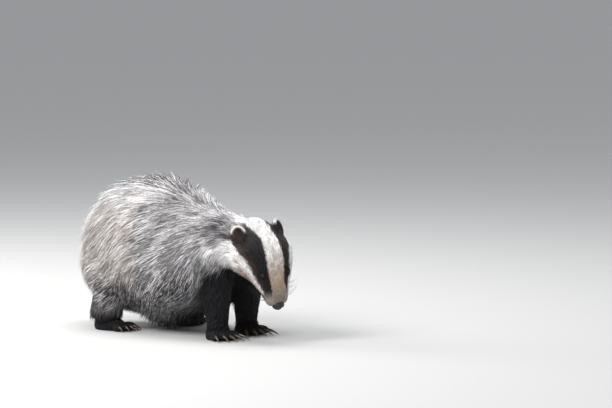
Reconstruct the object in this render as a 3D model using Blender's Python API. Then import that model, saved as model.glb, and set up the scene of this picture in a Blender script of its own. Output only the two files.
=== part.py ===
"""A European badger in its winter coat, standing with an arched back and its head lowered.

Metres, +X forward, +Y to the animal's left, +Z up. The soles stand on Z = 0.
Sizes below are in millimetres of the living animal, and MM turns them into metres.
"""

import math
import random

import bmesh
import bpy
from mathutils import Matrix, Vector
from mathutils.bvhtree import BVHTree

MM = 0.001
GAP = 0.3 * MM

# Spine in plan: a shallow bow that carries rump and head to the animal's right
SPINE_BEND = 0.00052
SPINE_APEX = -50.0

# Body out to the tips of the coat: x, height of the widest line, tilt of the section in degrees,
# reach above and below that line, half width
BODY = (
    (-248, 128, 0, 134, 72, 104),
    (-200, 130, 0, 150, 86, 113),
    (-150, 130, 0, 166, 94, 121),
    (-80, 130, 0, 178, 98, 131),
    (-20, 130, 0, 162, 98, 135),
    (40, 132, 0, 124, 94, 131),
    (90, 138, 0, 102, 86, 120),
    (130, 150, 8, 90, 78, 104),
    (160, 160, 22, 82, 68, 86),
    (182, 168, 40, 66, 56, 64),
    (196, 160, 60, 53, 44, 46),
)
RUMP_ROUNDING = 110.0
# Over 1 a section's part is more like a roof, under 1 more like a box
ROOF = 1.18
FLANK_FULLNESS = 0.92
BELLY_FULLNESS = 0.95
CORE_SIDES = 18
TORSO_END = 8.2
NECK_END = 10.0

# The coat: the solid core lies this far below the tips, half of the coat's depth, and less at the neck
CORE_DEPTH = 15.0
NECK_CORE_DEPTH = 7.0
NECK_BLEND = (5.5, 9.0)
# The coat turns from lying back to hanging down over this stretch of x at the rump
RUMP_LIE = (-130, -230)
# One lock of the coat, before it is varied
LOCK_LENGTH = 98.0
LOCK_WIDTH = 39.0
LOCK_THICKNESS = 6.4
LOCK_ROOT = 6.0
# Under 1 the lock rises early and then runs just under the coat's tips
LOCK_RISE = 0.6
# Where the sections of a lock stand along it, and how wide and thick each is
LOCK_SECTIONS = ((0.0, 0.60, 0.8), (0.24, 0.96, 1.0), (0.52, 0.92, 0.85), (0.79, 0.55, 0.5))
COAT_SEED = 7
LOCK_ROW = 57.0
LOCK_SPACING = 47.0
# How far the locks vary: share of the size, degrees of sway, lift of the tip
LOCK_SIZES = (0.86, 1.12)
LOCK_SWAY = 7
LOCK_LIFT = 6
# Where the first and last rows of roots stand in the table of the body
TORSO_ROWS = (0.15, TORSO_END - 0.25)
NECK_ROWS = (NECK_END - 1.1, NECK_END - 0.85)
# Below this sine of the turn round the body every second lock is left out
BELLY_TURN = -0.75
# The flanks' lower locks, between these x and sines of the turn, hang this far below the belly
FRINGE_X = (-110, 90)
FRINGE_TURN = (-0.85, -0.2)
FRINGE_HANG = 13.0
NECK_LOCK_SIZE = 0.72
TAIL_LOCK_SIZE = 0.78
# How a grown copy of a lock is larger, so that what it cuts stays clear
CLEAR_WIDTH = 1.3
CLEAR_THICKNESS = 0.4

# Head in its own axes: along the muzzle, to the animal's left, and out of the forehead.
# It hangs straight down, then swings forward, turns to the right and leans over.
HEAD_ORIGIN = Vector((213, -40, 220))
HEAD_YAW = math.radians(-18)
HEAD_SWING = math.radians(17)
HEAD_LEAN = math.radians(6.8)
# Distance along from behind the crown, reach to forehead and to throat, half width
HEAD = (
    (-22, 2, 42, 34),
    (-8, 4, 50, 42),
    (8, 10, 53, 48),
    (26, 24, 52, 57),
    (46, 35, 48, 63),
    (66, 38, 40, 60),
    (88, 34, 27, 51),
    (108, 29, 16, 41),
    (128, 24, 11, 32),
    (144, 20, 9, 26),
    (158, 15, 7, 22),
)
CROWN_ROUNDING = 24.0
MUZZLE_ROUNDING = 9.0
HEAD_SIDES = 22

JAW = (
    (62, 0, 44, 30),
    (80, 0, 40, 27),
    (100, 0, 33, 21),
    (120, 0, 27, 16),
    (144, 0, 19, 10),
)
JAW_ROUNDING = 8.0
JAW_SIDES = 14

# Row of the head's table and the turn around it, and how deep the middle of the eye lies
EYE_ROW = 6.52
EYE_TURN = math.radians(52)
EYE_DEPTH = 2.6
EYE_RADIUS = 5.8
LID_RADIUS = 6.0
LID_THICKNESS = 1.8
NOSE_PLACE = (157, 6)
NOSE_SIZE = (9, 12.5, 9.5)
NOSTRIL_PLACE = (8.0, 6.2, 0.5)
NOSTRIL_SIZE = (5.0, 2.6, 3.2)
# The upper lip hangs over the jaw from the mouth's corner to the nose: row and turn of both ends
LIP_CORNER = (5.5, math.radians(-40))
LIP_FRONT = (9.35, math.radians(-62))
LIP_RADIUS = 2.6
LIP_SIDES = 6
LIP_SECTIONS = 8
EAR_PLACE = (8, 45, 2)
EAR_SIZE = (19, 10, 17)
EAR_CUP = (15, 9, 13)

# Legs as level rings: z, x, y, half length, half width
FORELEG = (
    (150, 128, 44, 30, 26),
    (118, 130, 46, 34, 28),
    (88, 132, 49, 32, 27),
    (60, 135, 51, 27, 24),
    (38, 138, 52, 23, 22),
    (22, 140, 53, 21, 21),
)
HINDLEG = (
    (155, -145, 70, 46, 28),
    (122, -140, 76, 48, 31),
    (92, -134, 79, 42, 29),
    (62, -135, 82, 30, 24),
    (38, -139, 84, 24, 22),
    (22, -140, 84, 22, 21),
)
LEG_SIDES = 10
LEG_ROUNDING = 14.0
# How far the left leg stands ahead of the right one
FORE_STRIDE = -22.0
HIND_STRIDE = 34.0

FOREPAW = {"length": 62, "width": 54, "height": 30, "back": -22, "toe": 11.5, "claw": 27}
HINDPAW = {"length": 84, "width": 48, "height": 28, "back": -26, "toe": 10.5, "claw": 15}
TOE_COUNT = 5
CLAW_SECTIONS = 4
TOE_SPREAD = math.radians(11)

# Tail out to its tips: distance down the tail, x, y, z, radius
TAIL = (
    (0, -224, -4, 178, 24),
    (35, -249, 0, 160, 29),
    (75, -262, 8, 124, 30),
    (115, -266, 16, 86, 24),
    (150, -267, 22, 52, 10),
)

TAIL_CORE_DEPTH = 11.0
TAIL_ROWS = (0.8, 2.0)
TAIL_LOCKS = 5

COLOURS = {
    "grey_coat": ((0.50, 0.46, 0.44), 0.9),
    "dark_fur": ((0.030, 0.028, 0.030), 0.85),
    "white_fur": ((0.78, 0.76, 0.73), 0.85),
    "nose_leather": ((0.020, 0.018, 0.018), 0.45),
    "claw": ((0.10, 0.075, 0.055), 0.5),
    "eye": ((0.008, 0.006, 0.005), 0.08),
}


def clear_scene():
    for old in list(bpy.data.objects):
        bpy.data.objects.remove(old, do_unlink=True)


def make_material(name):
    colour, roughness = COLOURS[name]
    material = bpy.data.materials.new(name)
    material.use_nodes = True
    shader = material.node_tree.nodes["Principled BSDF"]
    shader.inputs["Base Color"].default_value = (*colour, 1.0)
    shader.inputs["Roughness"].default_value = roughness
    return material


def smooth(table, place):
    """A row of the table at a fractional index, on a curve that runs through every row."""
    last = len(table) - 1
    index = min(max(int(math.floor(place)), 0), last - 1)
    t = place - index
    rows = [table[min(max(index + step, 0), last)] for step in (-1, 0, 1, 2)]
    return [
        0.5 * (2 * b + (c - a) * t + (2 * a - 5 * b + 4 * c - d) * t**2 + (3 * b - a - 3 * c + d) * t**3)
        for a, b, c, d in zip(*rows)
    ]


def dome(distance, length):
    """How full a section is at a distance from a rounded end."""
    if distance >= length:
        return 1.0
    return math.sqrt(max(0.0, 1.0 - (1.0 - distance / length) ** 2))


def share_between(value, first, last):
    """How far value has come from first to last, held between 0 and 1."""
    return min(max((value - first) / (last - first), 0.0), 1.0)


def spine_y(x):
    return -SPINE_BEND * (x - SPINE_APEX) ** 2


def body_point(place, turn):
    """A point on the tips of the body's coat: turn 0 is the left flank, a quarter turn the back."""
    x, middle, tilt, above, below, half = smooth(BODY, place)
    slope = -2 * SPINE_BEND * (x - SPINE_APEX)
    ahead = Vector((1, slope, 0)).normalized()
    left = Vector((-ahead.y, ahead.x, 0))
    lean = math.radians(tilt)
    up = Vector((0, 0, 1)) * math.cos(lean) + ahead * math.sin(lean)
    full = dome(x - BODY[0][0], RUMP_ROUNDING)
    side, rise = math.cos(turn), math.sin(turn)
    reach = above if rise > 0 else below
    side = math.copysign(abs(side) ** FLANK_FULLNESS, side)
    rise = rise**ROOF if rise > 0 else -(abs(rise) ** BELLY_FULLNESS)
    centre = Vector((x, spine_y(x), middle))
    return centre + left * (side * half * full) + up * (rise * reach * full)


def head_turn():
    """The turn from the head's own axes to the animal's: along, left and outward as columns."""
    hanging = Matrix(((0, 0, 1), (0, 1, 0), (-1, 0, 0)))
    swing = Matrix.Rotation(-HEAD_SWING, 3, "Y")
    lean = Matrix.Rotation(HEAD_LEAN, 3, "X")
    return (Matrix.Rotation(HEAD_YAW, 3, "Z") @ swing @ lean @ hanging).to_4x4()


def head_place(along, side, out):
    """A point given in the head's own axes, in the animal's."""
    return HEAD_ORIGIN + head_turn() @ Vector((along, side, out))


def skull_section(table, place, turn, start_rounding, end_rounding):
    along, above, below, half = smooth(table, place)
    full = dome(along - table[0][0], start_rounding) * dome(table[-1][0] - along, end_rounding)
    side, rise = math.cos(turn), math.sin(turn)
    side = math.copysign(abs(side) ** 0.95, side)
    middle, reach = (above - below) / 2, (above + below) / 2
    return head_place(along, side * half * full, middle + rise * reach * full)


def loft(name, rings, ends=(None, None)):
    """A closed solid through rings of equally many points; an end may close on a point."""
    work = bmesh.new()
    made = [[work.verts.new(point * MM) for point in ring] for ring in rings]
    count = len(rings[0])
    for first, second in zip(made, made[1:]):
        for i in range(count):
            j = (i + 1) % count
            work.faces.new((first[i], first[j], second[j], second[i]))
    for ring, tip, forward in ((made[0], ends[0], False), (made[-1], ends[1], True)):
        if tip is None:
            work.faces.new(ring if forward else ring[::-1])
            continue
        point = work.verts.new(tip * MM)
        for i in range(count):
            pair = (ring[i], ring[(i + 1) % count])
            work.faces.new((*pair, point) if forward else (*pair[::-1], point))
    bmesh.ops.recalc_face_normals(work, faces=work.faces)
    bmesh.ops.triangulate(work, faces=work.faces)
    return new_object(name, work)


def new_object(name, work):
    mesh = bpy.data.meshes.new(name)
    work.to_mesh(mesh)
    work.free()
    made = bpy.data.objects.new(name, mesh)
    bpy.context.scene.collection.objects.link(made)
    return made


def turns(count):
    return [2 * math.pi * i / count for i in range(count)]


def middle_of(ring):
    return sum(ring, Vector()) / len(ring)


def grown_ring(ring, grow):
    """The ring moved out from its own middle by grow."""
    middle = middle_of(ring)
    return [point + (point - middle).normalized() * grow for point in ring]


def core_depth(place):
    """How far the core lies below the tips, from the torso's depth to the neck's."""
    toward_head = share_between(place, *NECK_BLEND)
    return CORE_DEPTH + (NECK_CORE_DEPTH - CORE_DEPTH) * toward_head


def body_normal(place, turn):
    step = 0.02
    along = body_point(place + step, turn) - body_point(place - step, turn)
    around = body_point(place, turn + step) - body_point(place, turn - step)
    return along.cross(around).normalized() * -1


def section_normal(place):
    x, middle, tilt = smooth(BODY, place)[:3]
    ahead = Vector((1, -2 * SPINE_BEND * (x - SPINE_APEX), 0)).normalized()
    lean = math.radians(tilt)
    return ahead * math.cos(lean) - Vector((0, 0, math.sin(lean)))


def body_part(name, places, closed_start, grow=0.0):
    rings = []
    for place in places:
        depth = core_depth(place) - grow
        rings.append(
            [body_point(place, turn) - body_normal(place, turn) * depth for turn in turns(CORE_SIDES)]
        )
    rings[0] = [point - section_normal(places[0]) * grow for point in rings[0]]
    start = body_point(0, 0) + Vector((CORE_DEPTH - grow, 0, 0)) if closed_start else middle_of(rings[0])
    return loft(name, rings, (start, middle_of(rings[-1])))


def steps(first, last, count):
    return [first + (last - first) * i / (count - 1) for i in range(count)]


def surface_through(rings, tip):
    """A surface through rings of points, from a closed start, to lay the locks along."""
    points, faces, sides = [tip], [], len(rings[0])
    for ring in rings:
        points += ring
    for i in range(sides):
        faces.append((0, 1 + (i + 1) % sides, 1 + i))
    for row in range(len(rings) - 1):
        first = 1 + row * sides
        for i in range(sides):
            j = (i + 1) % sides
            faces.append((first + i, first + j, first + sides + j, first + sides + i))
    return BVHTree.FromPolygons(points, faces)


def coat_surface():
    """The surface that the tips of the body's coat reach."""
    places = [0.01, 0.03, 0.08, 0.15, 0.25, 0.4] + steps(0.6, NECK_END, 48)
    return surface_through([[body_point(p, t) for t in turns(64)] for p in places], body_point(0, 0))


def body_lie(spot):
    """The way the coat lies: back along the spine, down the flanks, straight down behind."""
    behind = share_between(spot.x, *RUMP_LIE)
    return Vector((-1.0 + 0.8 * behind, 0, -0.95 - 0.5 * behind))


def tail_lie(spot):
    return Vector((-0.25, 0.1, -1.0))


def make_lock(surface, lie, root, depth, look, grow=False):
    """One flat lock: it leaves the core, bends over along the lie and ends at the coat's tips.

    look holds its size, its sway sideways, the lift of its tip above the coat, and hang,
    how far its tip leaves the surface to hang straight down.
    """
    size, sway, lift, hang = look
    length, half, thick = LOCK_LENGTH * size, LOCK_WIDTH * size / 2, LOCK_THICKNESS / 2
    extra_half, extra_thick = (CLEAR_WIDTH, CLEAR_THICKNESS) if grow else (0.0, 0.0)
    rings, spot, last = [], root, 0.0
    sections = LOCK_SECTIONS + ((1.0, 0.0, 0.0),)
    for t, wide, high in sections:
        for _ in range(3):
            near, normal = surface.find_nearest(spot)[:2]
            wish = lie(near)
            way = (wish - normal * wish.dot(normal)).normalized()
            way = Matrix.Rotation(sway * t, 3, normal) @ way
            spot = near + way * (length * (t - last) / 3)
        last = t
        height = -depth - LOCK_ROOT + (depth + LOCK_ROOT + lift) * t**LOCK_RISE
        centre = near + normal * height + Vector((0, 0, -hang * t**2))
        across = normal.cross(way).normalized()
        if t == 1.0:
            break
        side, top = across * (half * wide + extra_half), normal * (thick * high + extra_thick)
        low = normal * extra_thick
        rings.append([centre + side - low, centre + top * 2, centre - side - low])
    tip = centre + way * (0.6 if grow else 0.0)
    return loft("lock", rings, (None, tip))


def coat_roots(first, last, row, spacing, seed):
    """Roots in staggered rows around the body: place, turn and a seeded random source."""
    chance = random.Random(seed)
    place, found, odd = last, [], 0
    while place > first:
        ring = [body_point(place, turn) for turn in turns(40)]
        around = sum((a - b).length for a, b in zip(ring, ring[1:] + ring[:1]))
        count = max(3, round(around / spacing))
        for i in range(count):
            turn = 2 * math.pi * (i + 0.5 * odd + chance.uniform(-0.1, 0.1)) / count
            under_belly = math.sin(turn) < BELLY_TURN
            if not (under_belly and i % 2):
                found.append((place + chance.uniform(-0.08, 0.08), turn))
        ahead = (body_point(place + 0.05, 1.2) - body_point(place - 0.05, 1.2)).length / 0.1
        place -= row / ahead
        odd = 1 - odd
    return found


def body_locks(surface, first, last, size, seed, grow=False):
    """The locks rooted between two places of the body, each varied by the seed."""
    chance = random.Random(seed + 1)
    locks = []
    for place, turn in coat_roots(first, last, LOCK_ROW * size, LOCK_SPACING * size, seed):
        root = body_point(place, turn)
        fringe = FRINGE_X[0] < root.x < FRINGE_X[1] and FRINGE_TURN[0] < math.sin(turn) < FRINGE_TURN[1]
        look = (
            size * chance.uniform(*LOCK_SIZES),
            math.radians(chance.uniform(-LOCK_SWAY, LOCK_SWAY)),
            chance.uniform(0, LOCK_LIFT),
            FRINGE_HANG if fringe else 0.0,
        )
        locks.append(make_lock(surface, body_lie, root, core_depth(place), look, grow))
    return locks


def make_torso(surface):
    places = [0.02, 0.1, 0.3, 0.65] + steps(1.1, TORSO_END, 13)
    torso = body_part("torso", places, True)
    combine(torso, body_locks(surface, *TORSO_ROWS, 1.0, COAT_SEED), "UNION", "MANIFOLD")
    return torso


def make_neck(surface, grow=False):
    """The neck from the torso's front to inside the head; its locks lie back over the torso."""
    neck = body_part("neck", [TORSO_END] + steps(8.6, NECK_END, 6), False, GAP / MM if grow else 0.0)
    locks = body_locks(surface, *NECK_ROWS, NECK_LOCK_SIZE, COAT_SEED + 20, grow)
    combine(neck, locks, "UNION", "MANIFOLD")
    return neck


def make_head(grow=0.0):
    places = [0.03, 0.15, 0.4, 0.75] + steps(1.1, 9.3, 15) + [9.6, 9.8, 9.93]
    rings = [grown_ring([head_point(p, t) for t in turns(HEAD_SIDES)], grow) for p in places]
    ends = (head_place(HEAD[0][0] - grow, 0, -20), head_place(HEAD[-1][0] + grow, 0, 4))
    return loft("head", rings, ends)


def make_jaw():
    places = [0.1, 0.4] + steps(1.0, 3.5, 4) + [3.9]
    rings = [
        [skull_section(JAW, p, t, JAW_ROUNDING, JAW_ROUNDING) for t in turns(JAW_SIDES)] for p in places
    ]
    return loft("jaw", rings, (None, None))


def ball(name, sizes, place, turn, segments=16, grow=0.0):
    """An ellipsoid with half sizes in millimetres, turned and set in place."""
    work = bmesh.new()
    bmesh.ops.create_uvsphere(work, u_segments=segments, v_segments=segments // 2, radius=1.0)
    scale = Matrix.Diagonal([(size + grow) * MM for size in sizes] + [1.0])
    bmesh.ops.transform(work, matrix=Matrix.Translation(place * MM) @ turn @ scale, verts=work.verts)
    bmesh.ops.triangulate(work, faces=work.faces)
    return new_object(name, work)


def combine(target, others, operation, solver="EXACT"):
    """Joins the solids in others to target, or cuts them from it, and removes them."""
    group = bpy.data.collections.new("operands")
    bpy.context.scene.collection.children.link(group)
    for other in others:
        for holder in list(other.users_collection):
            holder.objects.unlink(other)
        group.objects.link(other)
    modifier = target.modifiers.new("combine", "BOOLEAN")
    modifier.operation = operation
    modifier.solver = solver
    modifier.operand_type = "COLLECTION"
    modifier.collection = group
    graph = bpy.context.evaluated_depsgraph_get()
    mesh = bpy.data.meshes.new_from_object(target.evaluated_get(graph))
    target.modifiers.clear()
    old = target.data
    target.data = mesh
    bpy.data.meshes.remove(old)
    for other in others:
        bpy.data.objects.remove(other, do_unlink=True)
    bpy.data.collections.remove(group)
    keep_largest(target)


def copy_of(original):
    made = bpy.data.objects.new(original.name, original.data.copy())
    bpy.context.scene.collection.objects.link(made)
    return made


def keep_largest(target):
    """Drops every closed surface of the mesh but the largest, and welds and triangulates it."""
    work = bmesh.new()
    work.from_mesh(target.data)
    bmesh.ops.triangulate(work, faces=work.faces)
    seen, shells = set(), []
    for start in work.faces:
        if start.index in seen:
            continue
        shell, front = [], [start]
        seen.add(start.index)
        while front:
            face = front.pop()
            shell.append(face)
            for edge in face.edges:
                for near in edge.link_faces:
                    if near.index not in seen:
                        seen.add(near.index)
                        front.append(near)
        shells.append(shell)
    shells.sort(key=lambda shell: sum(face.calc_area() for face in shell))
    loose = [face for shell in shells[:-1] for face in shell]
    bmesh.ops.delete(work, geom=loose, context="FACES")
    work.to_mesh(target.data)
    work.free()


def make_nose(grow=0.0):
    along, out = NOSE_PLACE
    turn = head_turn()
    nose = ball("nose", NOSE_SIZE, head_place(along, 0, out), turn, 12, grow)
    if grow:
        return nose
    ahead, side, lift = NOSTRIL_PLACE
    holes = []
    for sign in (-1, 1):
        place = head_place(along + ahead, sign * side, out + lift)
        slant = turn @ Matrix.Rotation(sign * math.radians(25), 4, "Z")
        holes.append(ball("nostril", NOSTRIL_SIZE, place, slant, 8))
    combine(nose, holes, "DIFFERENCE")
    return nose


def head_point(row, turn):
    return skull_section(HEAD, row, turn, CROWN_ROUNDING, MUZZLE_ROUNDING)


def eye_spot(sign):
    """The place on the head over the eye, and the way that the eye looks."""
    turn = EYE_TURN if sign > 0 else math.pi - EYE_TURN
    spot = head_point(EYE_ROW, turn)
    along = head_point(EYE_ROW + 0.1, turn) - head_point(EYE_ROW - 0.1, turn)
    around = head_point(EYE_ROW, turn + 0.1) - head_point(EYE_ROW, turn - 0.1)
    facing = around.cross(along).normalized()
    if facing.dot(spot - head_place(98, 0, 0)) < 0:
        facing.negate()
    return spot, facing


def make_eye(name, sign, grow=0.0):
    spot, facing = eye_spot(sign)
    return ball(name, (EYE_RADIUS,) * 3, spot - facing * EYE_DEPTH, head_turn(), 12, grow)


def make_lid(sign):
    """The rim that both lids form around the eye."""
    spot, facing = eye_spot(sign)
    turn = facing.to_track_quat("Z", "Y").to_matrix().to_4x4()
    bpy.ops.mesh.primitive_torus_add(
        major_segments=16,
        minor_segments=6,
        major_radius=LID_RADIUS * MM,
        minor_radius=LID_THICKNESS * MM,
    )
    lid = bpy.context.object
    lid.data.transform(Matrix.Translation((spot + facing * 0.3) * MM) @ turn)
    return lid


def make_lip(sign, grow=0.0):
    """The roll of the upper lip on one side, thickest in the middle of its length."""
    rings = []
    for t in steps(0, 1, LIP_SECTIONS):
        row = LIP_CORNER[0] + (LIP_FRONT[0] - LIP_CORNER[0]) * t
        turn = LIP_CORNER[1] + (LIP_FRONT[1] - LIP_CORNER[1]) * t
        turn = turn if sign > 0 else math.pi - turn
        middle = head_point(row, turn)
        along = (head_point(row + 0.1, turn) - head_point(row - 0.1, turn)).normalized()
        inward = head_place(smooth(HEAD, row)[0], 0, 0) - middle
        across = (inward - along * inward.dot(along)).normalized()
        radius = LIP_RADIUS * (0.5 + 0.5 * math.sin(math.pi * t)) + grow
        rings.append([middle + Matrix.Rotation(a, 3, along) @ across * radius for a in turns(LIP_SIDES)])
    return loft("lip", rings, (middle_of(rings[0]), middle_of(rings[-1])))


def make_ear(name, sign):
    """A rounded cup that opens forward and outward."""
    along, side, out = EAR_PLACE
    turn = head_turn() @ Matrix.Rotation(sign * math.radians(-35), 4, "X")
    ear = ball(name, (EAR_SIZE[0], EAR_SIZE[2], EAR_SIZE[1]), head_place(along, sign * side, out), turn, 14)
    opening = (head_place(0, sign * 0.45, 0.85) - HEAD_ORIGIN).normalized()
    cup_at = head_place(along - 1, sign * (side + 1), out) + opening * 8
    cup = ball("cup", (EAR_CUP[0], EAR_CUP[2], EAR_CUP[1]), cup_at, turn, 12)
    combine(ear, [cup], "DIFFERENCE")
    return ear


def leg_rings(table, side, stride, grow):
    rings = []
    top, bottom = table[0][0], table[-1][0]
    for place in [0, 0.2] + steps(0.8, 5, 5):
        z, x, y, long, wide = smooth(table, place)
        full = 0.35 + 0.65 * dome(top - z, LEG_ROUNDING)
        ahead = stride * (top - z) / (top - bottom)
        centre = Vector((x + ahead, spine_y(x) + side * y, z))
        rings.append(
            [
                centre + Vector((math.cos(t) * (long * full + grow), math.sin(t) * (wide * full + grow), 0))
                for t in turns(LEG_SIDES)
            ]
        )
    rings[0] = [point + Vector((0, 0, grow)) for point in rings[0]]
    return rings


def make_leg(name, table, side, stride, grow=0.0):
    return loft(name, leg_rings(table, side, stride, grow), (None, None))


def foot_place(table, side, stride):
    z, x, y = table[-1][:3]
    return Vector((x + stride, spine_y(x) + side * y, 0))


def toe_places(paw, foot):
    """The middle and the heading of each toe, fanned across the front of the paw."""
    heading = math.atan2(-2 * SPINE_BEND * (foot.x - SPINE_APEX), 1)
    places = []
    for i in range(TOE_COUNT):
        across = i - (TOE_COUNT - 1) / 2
        turn = heading - across * TOE_SPREAD
        ahead = paw["length"] + paw["back"] - paw["toe"] * (1.15 + 0.16 * across**2)
        sideways = -across * paw["width"] * 0.205
        spot = Vector((ahead, sideways, paw["toe"] * 0.78))
        spot.rotate(Matrix.Rotation(heading, 3, "Z"))
        places.append((foot + spot, turn))
    return places


def flatten_sole(target):
    """Cuts the solid level at the floor and closes the sole."""
    work = bmesh.new()
    work.from_mesh(target.data)
    everything = work.verts[:] + work.edges[:] + work.faces[:]
    cut = bmesh.ops.bisect_plane(
        work, geom=everything, dist=0.00001, plane_co=(0, 0, 0), plane_no=(0, 0, -1), clear_outer=True
    )
    rim = [piece for piece in cut["geom_cut"] if isinstance(piece, bmesh.types.BMEdge)]
    filled = bmesh.ops.edgeloop_fill(work, edges=rim)
    bmesh.ops.triangulate(work, faces=filled["faces"])
    bmesh.ops.recalc_face_normals(work, faces=work.faces)
    work.to_mesh(target.data)
    work.free()


def make_paw(name, paw, foot, grow=0.0):
    heading = math.atan2(-2 * SPINE_BEND * (foot.x - SPINE_APEX), 1)
    turn = Matrix.Rotation(heading, 4, "Z")
    middle = Vector((paw["length"] * 0.40 + paw["back"], 0, paw["height"] * 0.30))
    middle.rotate(turn.to_3x3())
    sizes = (paw["length"] * 0.44, paw["width"] * 0.47, paw["height"] * 0.70)
    pad = ball(name, sizes, foot + middle, turn, 10, grow)
    toes = []
    for spot, way in toe_places(paw, foot):
        sizes = (paw["toe"] * 1.55, paw["toe"] * 0.62, paw["toe"] * 0.85)
        toes.append(ball("toe", sizes, spot, Matrix.Rotation(way, 4, "Z"), 6, grow))
    combine(pad, toes, "UNION")
    if not grow:
        flatten_sole(pad)
    return pad


def make_claw(name, paw, spot, way, grow=0.0):
    """A claw bowed down to just above the floor, flattened from side to side."""
    length, rings = paw["claw"], []
    ahead = Vector((math.cos(way), math.sin(way), 0))
    left = Vector((-ahead.y, ahead.x, 0))
    start = spot + ahead * (paw["toe"] * 1.05) + Vector((0, 0, 1.0))
    drop = start.z - 1.2
    for i in range(CLAW_SECTIONS):
        t = i / CLAW_SECTIONS
        centre = start + ahead * (length * t) - Vector((0, 0, drop * t**2))
        wide, high = (1 - t**1.5) * 2.3 + 0.35 + grow, (1 - t**1.4) * 3.1 + 0.4 + grow
        round_it = [left * (math.cos(a) * wide) + Vector((0, 0, math.sin(a) * high)) for a in turns(5)]
        rings.append([centre + offset for offset in round_it])
    if grow:
        rings[0] = [point - ahead * grow for point in rings[0]]
    tip = start + ahead * (length + grow) - Vector((0, 0, drop))
    return loft(name, rings, (None, tip))


def tail_ring(place, depth, count):
    """A section of the tail, depth below the tips of its hair."""
    distance, x, y, z, radius = smooth(TAIL, place)
    after = smooth(TAIL, min(place + 0.05, 4))
    before = smooth(TAIL, max(place - 0.05, 0))
    way = (Vector(after[1:4]) - Vector(before[1:4])).normalized()
    left = (Vector((0, 1, 0)) - way * way.y).normalized()
    up = way.cross(left)
    reach = radius * dome(distance + 6, 20) - depth
    return [
        Vector((x, y, z)) + left * (math.cos(t) * reach) + up * (math.sin(t) * reach * 0.85)
        for t in turns(count)
    ]


def make_tail(grow=False):
    """The tail's core and its locks, which all lie toward its tip."""
    extra = GAP / MM if grow else 0.0
    places = [0.0, 0.25] + steps(0.6, 3.5, 6)
    tip = Vector(TAIL[-1][1:4]) + Vector((0, 0, 14 - extra))
    rings = [tail_ring(p, TAIL_CORE_DEPTH - extra, 10) for p in places]
    back = (middle_of(rings[0]) - middle_of(rings[1])).normalized() * extra
    rings[0] = [point + back for point in rings[0]]
    tail = loft("tail", rings, (None, tip))
    tips = [tail_ring(p, 0.0, 24) for p in steps(0.0, 4.0, 24)]
    surface = surface_through(tips, Vector(TAIL[0][1:4]))
    locks, chance = [], random.Random(COAT_SEED + 40)
    for row, place in enumerate(TAIL_ROWS):
        for i in range(TAIL_LOCKS):
            turn = 2 * math.pi * (i + 0.5 * (row % 2)) / TAIL_LOCKS
            root = tail_ring(place, 0.0, 1)[0]
            middle = Vector(smooth(TAIL, place)[1:4])
            way = Vector(smooth(TAIL, place + 0.1)[1:4]) - middle
            root = middle + Matrix.Rotation(turn, 3, way) @ (root - middle)
            look = (TAIL_LOCK_SIZE * chance.uniform(0.9, 1.1), 0.0, 0.0, 0.0)
            locks.append(make_lock(surface, tail_lie, root, TAIL_CORE_DEPTH, look, grow))
    combine(tail, locks, "UNION", "MANIFOLD")
    return tail


def finish(collection, made, material, flat_angle=40):
    made.data.materials.clear()
    made.data.materials.append(material)
    made.data.shade_smooth()
    made.data.set_sharp_from_angle(angle=math.radians(flat_angle))
    for holder in list(made.users_collection):
        holder.objects.unlink(made)
    collection.objects.link(made)


def centre_box(pieces):
    """Moves every piece so that the middle of the whole box stands over the origin."""
    points = [vertex.co for piece in pieces for vertex in piece.data.vertices]
    shift = [-(min(p[i] for p in points) + max(p[i] for p in points)) / 2 for i in (0, 1)]
    for piece in pieces:
        piece.data.transform(Matrix.Translation((*shift, 0)))


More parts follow.
